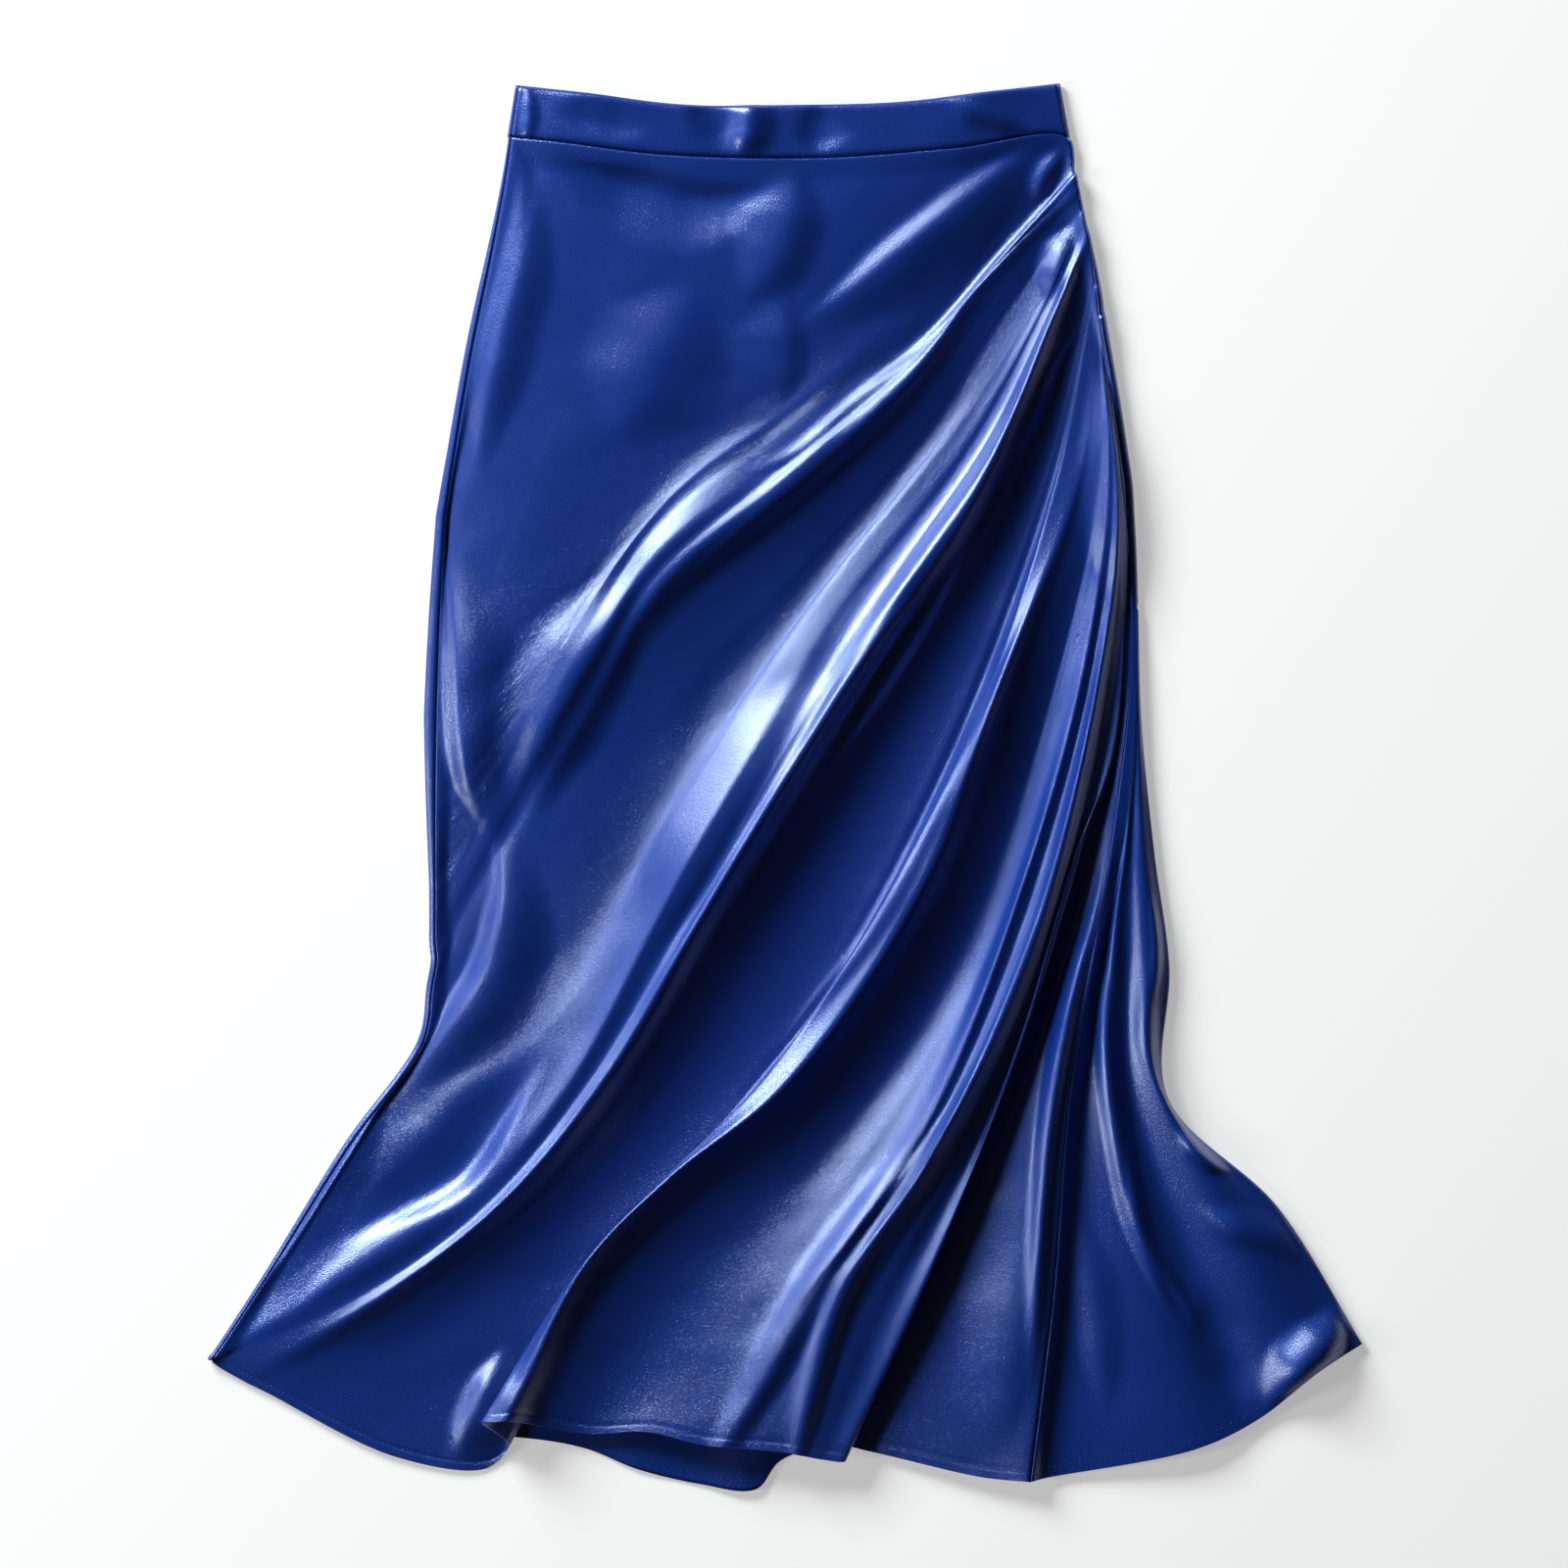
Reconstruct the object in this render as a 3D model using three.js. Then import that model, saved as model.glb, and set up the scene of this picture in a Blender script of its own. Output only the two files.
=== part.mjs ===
import * as THREE from "three";

// A satin slip skirt, bias cut, lying flat with its front up.
// +X runs to the right, +Y up to the waist and +Z away from the surface it lies on. Millimetres.
// Each panel is one layer of cloth. Its outer face is lofted through the lines of the drape,
// and its inner face is that face moved in by the thickness of the cloth.

// Driving sizes
const CLOTH = 1.2;
const BAND_CLOTH = 1.4;
const SEAM_GAP = 0.35;
const HEM_DEPTH = 6;
const ROWS = 22;
const FOOT_FALL = 0.85;
const BAND_ROWS = 3;
const ROLL_STEPS = 4;
const HEM_STEPS = 26;
const HEM_CLOTH = 1.2;
const EDGE_TURN = 5;

// Where the turned edge of the flare curves down: as shares of EDGE_TURN and of its height
const TURN_IN = 0.25;
const TURN_DOWN = 0.3;

// Straight steps along the crest of a soft fold, and how much of its rise is faded out at each end
const CREST_STEPS = 16;
const END_FADE = 0.12;

// Waist points at each side that the rolls of the back panel take up
const ROLL_ENDS = 2;

// Columns of the flare that its hem leaves out: the seam, and the edge with its turn
const SEAM_COLUMNS = 1;
const TURN_COLUMNS = 3;

// Where the whole skirt is moved so that its origin is under the middle of its outline
const CENTRE = new THREE.Vector3(-1, -0.45, 0);

// Satin colours
const SATIN = { color: 0x1d3f96, roughness: 0.32, metalness: 0.0 };
const SATIN_INSIDE = { color: 0x16307a, roughness: 0.45, metalness: 0.0 };

// Lines of the front panel, from the left side seam across to the right side seam.
// way: where the line runs, from the waist or hip down to the side seam or the hem (x, y, z).
// drop: how far past a crest the cloth falls steeply; dip: depth of the hollow before the next line;
// cells: strips of cloth between this line and the next.
const FRONT_LINES = [
  { name: "left seam", cells: 2, way: [
    [-169, 397, 5], [-172, 375, 5], [-181, 325, 5.5], [-193, 265, 6], [-203, 205, 6], [-209, 165, 6]] },
  { name: "left slope", cells: 2, way: [
    [-140, 394, 9], [-154, 345, 9.5], [-172, 275, 10], [-189, 205, 9.5], [-202, 155, 8.5], [-212, 110, 6]] },
  { name: "left body", cells: 2, way: [
    [-75, 386, 10.5], [-112, 305, 11.5], [-148, 215, 12], [-177, 135, 11.5], [-202, 80, 9], [-214, 55, 6]] },
  { name: "middle body", cells: 2, way: [
    [20, 384, 11], [-35, 300, 12], [-90, 205, 12.5], [-145, 100, 12], [-192, 22, 9.5], [-215, -5, 6]] },
  { name: "right body", cells: 2, way: [
    [105, 389, 11], [55, 315, 11], [0, 250, 12], [-75, 178, 12.5], [-135, 90, 12], [-215, -50, 6]] },
  { name: "hollow over the tuck", cells: 1, way: [
    [171, 397, 6], [120, 336, 6], [78, 295, 8], [15, 240, 12], [-70, 177, 14.5], [-130, 95, 12.5],
    [-215, -78, 6]] },
  { name: "tuck, soft crest", dip: 2, cells: 2, way: [
    [176, 374, 9], [131, 324, 14], [84, 271, 16], [5, 207, 18], [-83, 138, 17.5], [-132, 70, 13],
    [-215, -94, 6]] },
  { name: "tuck, sharp crest", drop: 17, cells: 3, way: [
    [178, 364, 8], [114, 302, 14], [79, 258, 17], [-2, 187, 20], [-79, 120, 18], [-122, 67, 13.5],
    [-214, -106, 6]] },
  { name: "plain left of the long fold", cells: 2, way: [
    [179.5, 356, 7], [128, 285, 7], [85, 220, 7.5], [10, 135, 8], [-80, 40, 9], [-150, -60, 9.5],
    [-222, -156, 6.5]] },
  { name: "plain beside the long fold", cells: 2, way: [
    [180, 353, 7], [138, 288, 7.5], [98, 212, 8], [25, 108, 10], [-65, -15, 12.5], [-140, -125, 11],
    [-268, -221, 6]] },
  { name: "rise of the long fold", cells: 1, way: [
    [180.5, 351, 7.5], [147, 286, 9], [106, 217, 11], [30, 116, 14.5], [-56, -20, 16], [-125, -140, 14],
    [-319, -302, 6]] },
  { name: "long fold, soft crest", dip: 2, cells: 1, way: [
    [181, 348, 8], [157, 291, 13], [107, 200, 17], [29, 97, 20], [-59, -47, 21], [-136, -189, 19],
    [-198, -259, 17], [-286, -314, 12], [-349, -347, 6.5]] },
  { name: "hem tip", cells: 1, way: [
    [182, 343, 9], [159, 287, 13.5], [120, 207, 17], [35, 88, 20], [-50, -58, 21], [-124, -184, 19],
    [-190, -262, 17], [-270, -316, 13], [-352, -351, 6.5]] },
  { name: "long fold, sharp crest", drop: 18, cells: 3, way: [
    [184, 336, 9], [161, 284, 15], [121, 192, 20], [47, 81, 24], [-43, -65, 24], [-110, -177, 22],
    [-172, -252, 20], [-251, -314, 15], [-334, -363, 6.5]] },
  { name: "floor of the left lobe", cells: 2, way: [
    [187, 316, 8], [152, 190, 8], [85, 48, 8], [5, -100, 8], [-75, -215, 8], [-150, -300, 8],
    [-240, -410, 6.5]] },
  { name: "end of the left lobe", cells: 1, way: [
    [187.5, 312, 8], [160, 190, 8.5], [106, 40, 9.5], [30, -112, 9.5], [-55, -222, 8], [-122, -300, 6.5],
    [-183, -417, 5.5]] },
  { name: "return under the middle lobe", cells: 1, way: [
    [188, 308, 8], [164, 190, 9.5], [111, 38, 11], [37, -110, 11], [-45, -216, 8.5], [-106, -292, 7],
    [-171, -402, 6]] },
  { name: "middle fold, soft crest", dip: 1.5, cells: 1, way: [
    [188.5, 304, 9], [168, 200, 12], [128, 73, 17], [70, -49, 19.5], [-8, -171, 19], [-83, -247, 16],
    [-128, -296, 15], [-187, -388, 13]] },
  { name: "middle fold, sharp crest", drop: 20, cells: 2, way: [
    [189.5, 296, 9], [178, 190, 13], [133, 72, 19], [79, -65, 23], [0, -180, 24], [-72, -238, 25],
    [-125, -293, 25], [-171, -387, 21]] },
  { name: "notch in the middle lobe", cells: 1, way: [
    [190, 290, 9], [190, 190, 9], [160, 55, 8], [108, -92, 8], [30, -212, 8], [-48, -286, 9],
    [-92, -340, 9.5], [-122, -396, 8]] },
  { name: "swell of the middle lobe", cells: 2, way: [
    [190.5, 288, 9], [193, 188, 10], [165, 50, 10], [117, -97, 11], [42, -218, 11], [-30, -295, 13],
    [-68, -342, 14], [-106, -390, 13]] },
  { name: "side fold, soft crest", dip: 2, cells: 1, way: [
    [191, 286, 10], [196, 182, 12], [181, 70, 15], [143, -61, 19], [85, -205, 21], [5, -316, 20],
    [-53, -402, 17]] },
  { name: "side fold, sharp crest", drop: 16, cells: 2, way: [
    [192, 279, 10], [202, 165, 13], [191, 70, 16], [153, -81, 22], [89, -225, 25], [28, -316, 23],
    [1, -407, 19]] },
  { name: "slope to the draped edge", cells: 1, way: [
    [200, 232, 8], [205.5, 150, 9], [199, 55, 10], [170, -75, 13], [115, -215, 15], [58, -320, 15],
    [22, -411, 15]] },
  { name: "draped edge", cells: 1, way: [
    [204, 205, 7.5], [206, 122, 9], [199.5, 22, 12.5], [175, -46, 17], [141, -161, 19], [89, -294, 19],
    [36, -412, 14]] },
  { name: "under the draped edge", cells: 1, way: [
    [206.8, 185, 7], [207.2, 110, 8], [198, 14, 8.8], [171, -53, 8.5], [134, -166, 8], [81, -296, 7.5],
    [34, -404, 7]] },
  { name: "side pleat, hollow", cells: 1, way: [
    [208, 165, 6.5], [207.9, 97, 7.7], [199.5, 8, 9.2], [181, -56, 8], [147, -166, 7.5], [96, -292, 7],
    [52, -407, 7]] },
  { name: "side pleat, swell", cells: 1, way: [
    [209, 145, 6.5], [208.5, 84, 7.9], [200.5, 0, 10.4], [190, -67, 12], [165, -160, 13.5], [139, -292, 12.5],
    [118, -422, 10.5]] },
  { name: "right seam", cells: 0, way: [
    [210, 108, 6], [208.5, 48, 8.3], [200, -20, 11.6], [190, -90, 14.5], [173, -187, 15.5], [163, -310, 14],
    [149, -425, 12]] },
];
const FRONT_HEMS = [
  { name: "front_hem_left", from: "long fold, sharp crest", to: "end of the left lobe" },
  { name: "front_hem_middle", from: "middle fold, sharp crest", to: "slope to the draped edge" },
  { name: "front_hem_side", from: "side pleat, hollow", to: "right seam" },
];
const LEFT_TIP = "hem tip";
const WAIST_END = "hollow over the tuck";

// Lines of the flare that the back panel makes at the lower right, from the seam to the right edge
const FLARE_LINES = [
  { name: "foot of the seam", cells: 2, way: [
    [211.5, 108, 6.2], [211.5, 46, 8.1], [206.5, -23, 9.8], [195.5, -91, 8], [181, -187, 7.5], [172, -308, 7],
    [158, -423, 6]] },
  { name: "first flute", cells: 1, way: [
    [212.5, 108, 6], [213, 45, 8], [208.5, -25, 10], [200, -92, 13], [197, -190, 14], [221, -290, 11.5],
    [250, -405, 8]] },
  { name: "hollow between the flutes", cells: 1, way: [
    [213.5, 108, 6], [214.2, 44, 7.6], [211, -28, 9], [211, -96, 9], [209, -180, 9], [243, -283, 8.5],
    [290, -386, 7]] },
  { name: "second flute", cells: 1, way: [
    [214.3, 108, 5.7], [215.5, 42, 7], [217, -33, 11], [225, -102, 14], [221, -165, 14], [266, -255, 12],
    [323, -359, 8]] },
  { name: "right edge", cells: 0, way: [
    [215, 108, 4.5], [217, 38, 5], [225, -42, 5], [234, -110, 5], [233, -190, 5], [300, -257, 5],
    [352, -341, 4]] },
];

// Soft folds laid over the loft: a ridge (rise) or a hollow (negative rise) along a way in plan,
// as wide as left and right say on the two sides of that way.
const SOFT_FOLDS = [
  { name: "side ridge, upper", way: [[-206, 100], [-206, 10], [-183, -34]], rise: 4, left: 20, right: 8 },
  { name: "side ridge, lower", way: [[-183, -34], [-175, -66], [-205, -132]], rise: 7, left: 22, right: 9 },
  { name: "hollow left of the tuck",
    way: [[-80, 130], [-140, 40], [-158, -20]], rise: -3, left: 22, right: 30 },
  { name: "ridge under the band", way: [[131, 389], [88, 357], [38, 321]], rise: 4, left: 22, right: 20 },
  { name: "hook over the tuck", way: [[167, 381], [158, 366], [149, 356]], rise: 3, left: 8, right: 8 },
  { name: "hollow over the tuck", way: [[135, 350], [100, 315], [70, 290]], rise: -3, left: 14, right: 16 },
  { name: "left corner hollow",
    way: [[-165, 390], [-142, 330], [-155, 285]], rise: -3, left: 16, right: 16 },
];

// Top edge of the waistband, from the left end to the right end
const BAND_TOP = [[-164, 429], [-122, 424], [-66, 417], [0, 416.5], [70, 418.5], [124, 425], [165, 430]];
const BAND_EDGE = 5;
const BAND_RISE = 6;
const BAND_ROUND = 0.16;
const BAND_ROLL = 2.2;

// How far the back panel shows outside the left seam, from the waist to the hem tip
const LEFT_STRIP = [1.5, 2.5, 4, 4, 5, 6, 8, 4, 4, 4, 2.5];
// The same outside the right seam, from the waist to the top of the flare
const RIGHT_STRIP = [1.5, 1.5, 2, 4, 4.5, 5];

// Hem of the back panel where it lies on the surface, from the left tip to the right tip
const BACK_HEM = [
  [-348, -351], [-250, -398], [-170, -398], [-124, -405], [-91, -418], [-53, -427], [-19, -430],
  [-3, -412], [60, -398], [150, -412], [260, -394], [347, -341],
];

const smooth = (t) => t * t * (3 - 2 * t);
const toVector = (p) => new THREE.Vector3(p[0], p[1], p[2] ?? 0);
const curveThrough = (points) => new THREE.CatmullRomCurve3(points.map(toVector), false, "centripetal");

/** Value of an evenly spaced list at t from 0 to 1. */
function listAt(values, t) {
  const place = t * (values.length - 1);
  const low = Math.min(Math.floor(place), values.length - 2);
  return THREE.MathUtils.lerp(values[low], values[low + 1], place - low);
}

/** Height that the soft folds add at a point in plan. */
function softHeight(point) {
  let height = 0;
  for (const fold of SOFT_FOLDS) {
    const crest = fold.crest ??= curveThrough(fold.way).getSpacedPoints(CREST_STEPS);
    let nearest = { gap: Infinity };
    for (let i = 0; i < crest.length - 1; i++) {
      const along = new THREE.Vector3().subVectors(crest[i + 1], crest[i]);
      const off = new THREE.Vector3(point.x - crest[i].x, point.y - crest[i].y, 0);
      const t = THREE.MathUtils.clamp(off.dot(along) / along.lengthSq(), 0, 1);
      const gap = off.clone().addScaledVector(along, -t).length();
      if (gap < nearest.gap) {
        const side = along.x * off.y - along.y * off.x;
        nearest = { gap, t: (i + t) / (crest.length - 1), width: side > 0 ? fold.left : fold.right };
      }
    }
    const across = Math.min(nearest.gap / nearest.width, 1);
    const fade = Math.sin(Math.PI * (END_FADE + (1 - 2 * END_FADE) * nearest.t));
    height += fold.rise * (1 - smooth(across)) * fade;
  }
  return height;
}

/** One section of cloth at the fraction w along its lines, as points with the strips between them. */
function sectionAt(lines, w) {
  const points = [];
  const strips = [];
  lines.forEach((line, index) => {
    line.curve ??= curveThrough(line.way);
    points.push(line.curve.getPointAt(w));
    if (index === lines.length - 1) return;
    const next = lines[index + 1];
    next.curve ??= curveThrough(next.way);
    const here = points[points.length - 1];
    const there = next.curve.getPointAt(w);
    if (line.drop) {
      const share = Math.min(line.drop / here.distanceTo(there), 0.5);
      const foot = here.clone().lerp(there, share);
      foot.z = THREE.MathUtils.lerp(here.z, there.z, FOOT_FALL);
      strips.push(1, line.cells - 1);
      points.push(foot);
    } else if (line.dip) {
      const hollow = here.clone().lerp(there, 0.5);
      hollow.z -= line.dip * Math.sin(Math.PI * w);
      strips.push(...(line.cells > 1 ? [1, line.cells - 1] : [line.cells]));
      if (line.cells > 1) points.push(hollow);
    } else {
      strips.push(line.cells);
    }
  });
  return { points, strips };
}

/** Outer face of lofted cloth: rows of points, with the columns at which named lines run. */
function loft(lines, rows, withSoftFolds) {
  const grid = rows.map((w) => {
    const { points, strips } = sectionAt(lines, w);
    const curve = new THREE.CatmullRomCurve3(points, false, "centripetal");
    const row = [];
    strips.forEach((count, k) => {
      for (let step = 0; step < count; step++) {
        row.push(curve.getPoint((k + step / count) / strips.length));
      }
    });
    row.push(points[points.length - 1].clone());
    return row;
  });
  if (withSoftFolds) {
    grid.forEach((row, i) => row.forEach((point, j) => {
      const inside = i > 0 && i < grid.length - 1 && j > 0 && j < row.length - 1;
      if (inside) point.z += softHeight(point);
    }));
  }
  return grid;
}

/** Column of a named line in a loft. */
function columnOf(lines, name) {
  let column = 0;
  for (const line of lines) {
    if (line.name === name) return column;
    column += line.cells;
  }
  throw new Error(`no line ${name}`);
}

/** An open face of cloth, built from points that its patches share. */
class Face {
  constructor() {
    this.points = [];
    this.triangles = [];
  }

  add(point) {
    this.points.push(point);
    return this.points.length - 1;
  }

  /** Patch of rows of point numbers. Its outer side is up where rows run down and columns right. */
  patch(rows) {
    for (let i = 0; i < rows.length - 1; i++) {
      for (let j = 0; j < rows[i].length - 1; j++) {
        const [a, b, c, d] = [rows[i][j], rows[i][j + 1], rows[i + 1][j + 1], rows[i + 1][j]];
        this.triangles.push([a, d, c], [a, c, b]);
      }
    }
  }

  /** Strip of triangles between two chains of point numbers with unlike counts. */
  zip(upper, lower) {
    let i = 0;
    let j = 0;
    while (i < upper.length - 1 || j < lower.length - 1) {
      const upperFirst = (i + 1) * (lower.length - 1) <= (j + 1) * (upper.length - 1);
      if (j === lower.length - 1 || (i < upper.length - 1 && upperFirst)) {
        this.triangles.push([upper[i], lower[j], upper[i + 1]]);
        i += 1;
      } else {
        this.triangles.push([upper[i], lower[j], lower[j + 1]]);
        j += 1;
      }
    }
  }

  /** Flat patch inside a ring of point numbers, with its outer side down. */
  flat(ring) {
    const contour = ring.map((n) => new THREE.Vector2(this.points[n].x, this.points[n].y));
    const turned = THREE.ShapeUtils.isClockWise(contour);
    for (const [a, b, c] of THREE.ShapeUtils.triangulateShape(contour, [])) {
      const triangle = [ring[a], ring[b], ring[c]];
      this.triangles.push(turned ? triangle : triangle.reverse());
    }
  }

  normals() {
    const sums = this.points.map(() => new THREE.Vector3());
    for (const [a, b, c] of this.triangles) {
      const [p, q, r] = [this.points[a], this.points[b], this.points[c]];
      const area = new THREE.Vector3().subVectors(q, p).cross(new THREE.Vector3().subVectors(r, p));
      [a, b, c].forEach((n) => sums[n].add(area));
    }
    return sums.map((sum) => sum.normalize());
  }
}

/** Closed wall of cloth between two depths under an open face. */
function wall(face, outer, inner, normals = face.normals()) {
  const count = face.points.length;
  const positions = [];
  for (const depth of [outer, inner]) {
    face.points.forEach((point, n) => {
      positions.push(...point.clone().addScaledVector(normals[n], -depth).toArray());
    });
  }
  const index = [];
  const edges = new Map();
  for (const [a, b, c] of face.triangles) {
    index.push(a, b, c, count + c, count + b, count + a);
    for (const [from, to] of [[a, b], [b, c], [c, a]]) {
      if (!edges.delete(`${to},${from}`)) edges.set(`${from},${to}`, [from, to]);
    }
  }
  for (const [from, to] of edges.values()) {
    index.push(from, count + from, count + to, from, count + to, to);
  }
  const geometry = new THREE.BufferGeometry();
  geometry.setAttribute("position", new THREE.Float32BufferAttribute(positions, 3));
  geometry.setIndex(index);
  geometry.computeVertexNormals();
  return geometry;
}

function pieceOf(name, geometry, look) {
  const mesh = new THREE.Mesh(geometry, new THREE.MeshStandardMaterial(look));
  mesh.name = name;
  return mesh;
}

// Rows run down the cloth, and the last strip is the depth of the hem
const HEM_ROW = 0.988;
const rowFractions = Array.from({ length: ROWS }, (_, i) => (i / (ROWS - 1)) * HEM_ROW);
rowFractions.push(1);

const tipColumn = columnOf(FRONT_LINES, LEFT_TIP);
const cornerColumn = columnOf(FRONT_LINES, WAIST_END);
const frontGrid = loft(FRONT_LINES, rowFractions, true);
const lastRow = frontGrid.length - 1;
const lastColumn = frontGrid[0].length - 1;

/** Front panel: a face through the whole loft. */
function frontFace() {
  const face = new Face();
  const numbers = frontGrid.map((row) => row.map((point) => face.add(point)));
  face.patch(numbers);
  return { face, numbers };
}

/** Directions in plan square to a chain of points; the first one is level with the waist. */
function outwardFrom(chain, side) {
  return chain.map((_, i) => {
    const ahead = chain[Math.min(i + 1, chain.length - 1)];
    const behind = chain[Math.max(i - 1, 0)];
    const rise = i === 0 ? 0 : side * (ahead.x - behind.x);
    return new THREE.Vector3(side * (behind.y - ahead.y), rise, 0).normalize();
  });
}

/** Half round of cloth from a seam out over an edge and down to the surface. */
function roll(seam, outward, width) {
  const points = [];
  for (let step = 0; step <= ROLL_STEPS; step++) {
    const turn = step === 0 ? SEAM_GAP / width : (Math.PI * step) / ROLL_STEPS;
    const point = seam.clone().addScaledVector(outward, width * Math.sin(turn));
    point.z = (seam.z / 2) * (1 + Math.cos(turn));
    points.push(point);
  }
  return points;
}

/** Rolls along a chain of seam points, with widths from a short list. */
function rollsAlong(chain, side, widths) {
  const outward = outwardFrom(chain, side);
  return chain.map((seam, i) => roll(seam, outward[i], listAt(widths, i / (chain.length - 1))));
}

const leftSeam = [...frontGrid.map((row) => row[0]), ...frontGrid[lastRow].slice(1, tipColumn + 1)];
const rightSeam = frontGrid[0].slice(cornerColumn);
const pleatSeam = frontGrid.map((row) => row[lastColumn]);
const waist = frontGrid[0].slice(0, cornerColumn + 1);
const waistFloor = waist.slice(ROLL_ENDS, -ROLL_ENDS)
  .map((point) => new THREE.Vector3(point.x, point.y, 0));

/** Rows of the flare: the seam, the flutes, the right edge, and the turn down to the surface. */
function flareRows() {
  const seamLine = { name: "pleat seam", cells: 1, way: FRONT_LINES.at(-1).way };
  return loft([seamLine, ...FLARE_LINES], rowFractions, false).map((row, i) => {
    const seam = pleatSeam[i].clone();
    seam.addScaledVector(new THREE.Vector3().subVectors(row[1], seam).normalize(), SEAM_GAP);
    const edge = row.at(-1);
    const inward = new THREE.Vector3().subVectors(row.at(-2), edge).setZ(0).normalize();
    const turn = edge.clone().addScaledVector(inward, EDGE_TURN * TURN_IN).setZ(edge.z * TURN_DOWN);
    const floor = edge.clone().addScaledVector(inward, EDGE_TURN).setZ(0);
    return [seam, ...row.slice(1), turn, floor];
  });
}

/** Back panel: the roll at the left, the floor, the roll at the right and the flare beside it. */
function backFace() {
  const face = new Face();
  const numbered = (rows) => rows.map((row) => row.map((point) => face.add(point)));
  const left = numbered(rollsAlong(leftSeam, -1, LEFT_STRIP));
  face.patch(left.map((row) => row.toReversed()));
  const right = numbered(rollsAlong(rightSeam, 1, RIGHT_STRIP).slice(0, -1));
  face.patch(right);
  const flare = numbered(flareRows());
  face.patch(flare);
  face.zip(right.at(-1), flare[0]);

  // The hem on the surface: its edge, and the line where it is stitched
  const edgePoints = curveThrough(BACK_HEM).getSpacedPoints(HEM_STEPS);
  const inward = outwardFrom(edgePoints, 1);
  const inner = edgePoints.slice(1, -1).map((point, k) => {
    return face.add(point.clone().addScaledVector(inward[k + 1], HEM_DEPTH));
  });
  const outer = edgePoints.slice(1, -1).map((point) => face.add(point));
  const floorOf = (rows, fromEnd) => rows.at(-1 - fromEnd).at(-1);
  const stitched = [floorOf(left, 1), ...inner, floorOf(flare, 1)];
  const edge = [floorOf(left, 0), ...outer, floorOf(flare, 0)];
  face.patch([edge, stitched]);

  const top = waistFloor.map((point) => face.add(point));
  face.flat([
    ...left.slice(0, -1).map((row) => row.at(-1)),
    ...inner,
    ...flare.slice(0, -1).map((row) => row.at(-1)).toReversed(),
    ...right.map((row) => row.at(-1)).toReversed(),
    ...top.toReversed(),
  ]);
  const leftChain = left.map((row) => row[0]);
  const rightChain = [...right.map((row) => row[0]), ...flare.map((row) => row[0])];
  return { face, leftChain, rightChain, edge, stitched, flare };
}

/** Makes two faces share the mean of their normals along a seam. */
function shareNormals(normals, chain, otherNormals, otherChain) {
  chain.forEach((number, i) => {
    const mean = normals[number].clone().add(otherNormals[otherChain[i]]).normalize();
    normals[number] = mean;
    otherNormals[otherChain[i]] = mean;
  });
}

/** A strip of cloth on the inner side of a face, made from some of its points. */
function hemStrip(face, normals, rows) {
  const strip = new Face();
  const stripNormals = [];
  const numbers = rows.map((row) => row.map((number) => {
    stripNormals.push(normals[number]);
    return strip.add(face.points[number]);
  }));
  strip.patch(numbers);
  return wall(strip, CLOTH + SEAM_GAP, CLOTH + SEAM_GAP + HEM_CLOTH, stripNormals);
}

/** Rows of the front waistband from its top edge down to the waist seam. */
function bandRows() {
  const topCurve = curveThrough(BAND_TOP);
  const length = waist.at(-1).x - waist[0].x;
  const bottom = waist.map((point) => new THREE.Vector3(point.x, point.y + SEAM_GAP, point.z));
  const top = waist.map((point) => {
    const share = (point.x - waist[0].x) / length;
    const side = Math.min(share, 1 - share) / BAND_ROUND;
    const onTop = topCurve.getPointAt(share);
    onTop.z = BAND_EDGE + BAND_RISE * smooth(Math.min(side, 1));
    return onTop;
  });
  return Array.from({ length: BAND_ROWS + 1 }, (_, r) => {
    return top.map((point, j) => point.clone().lerp(bottom[j], r / BAND_ROWS));
  });
}

/** Rows of the back waistband, from the left seam round under to the right seam. */
function bandBackRows(rows) {
  return rows.map((row) => {
    const floor = waistFloor.map((_, k) => row[k + 2].clone().setZ(0));
    const left = roll(row[0], new THREE.Vector3(-1, 0, 0), BAND_ROLL);
    const right = roll(row.at(-1), new THREE.Vector3(1, 0, 0), BAND_ROLL);
    return [...left, ...floor, ...right.toReversed()];
  });
}

function faceOf(rows) {
  const face = new Face();
  face.patch(rows.map((row) => row.map((point) => face.add(point))));
  return face;
}

const front = frontFace();
const back = backFace();
const frontNormals = front.face.normals();
const backNormals = back.face.normals();
const frontLeft = [...front.numbers.map((row) => row[0]), ...front.numbers[lastRow].slice(1, tipColumn + 1)];
const frontRight = [
  ...front.numbers[0].slice(cornerColumn, -1),
  ...front.numbers.map((row) => row[lastColumn]),
];
shareNormals(frontNormals, frontLeft, backNormals, back.leftChain);
shareNormals(frontNormals, frontRight, backNormals, back.rightChain);

const bandFront = faceOf(bandRows());
const bandBack = faceOf(bandBackRows(bandRows()).toReversed());
const bandNormals = bandFront.normals();
const bandBackNormals = bandBack.normals();
const bandWidth = waist.length;
const bandBackWidth = waistFloor.length + 2 * (ROLL_STEPS + 1);
const rowStarts = (width, count) => Array.from({ length: count }, (_, r) => r * width);
const bandBackStarts = rowStarts(bandBackWidth, BAND_ROWS + 1).toReversed();
const bandStarts = rowStarts(bandWidth, BAND_ROWS + 1);
shareNormals(bandNormals, bandStarts, bandBackNormals, bandBackStarts);
shareNormals(
  bandNormals, bandStarts.map((n) => n + bandWidth - 1),
  bandBackNormals, bandBackStarts.map((n) => n + bandBackWidth - 1),
);

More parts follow.
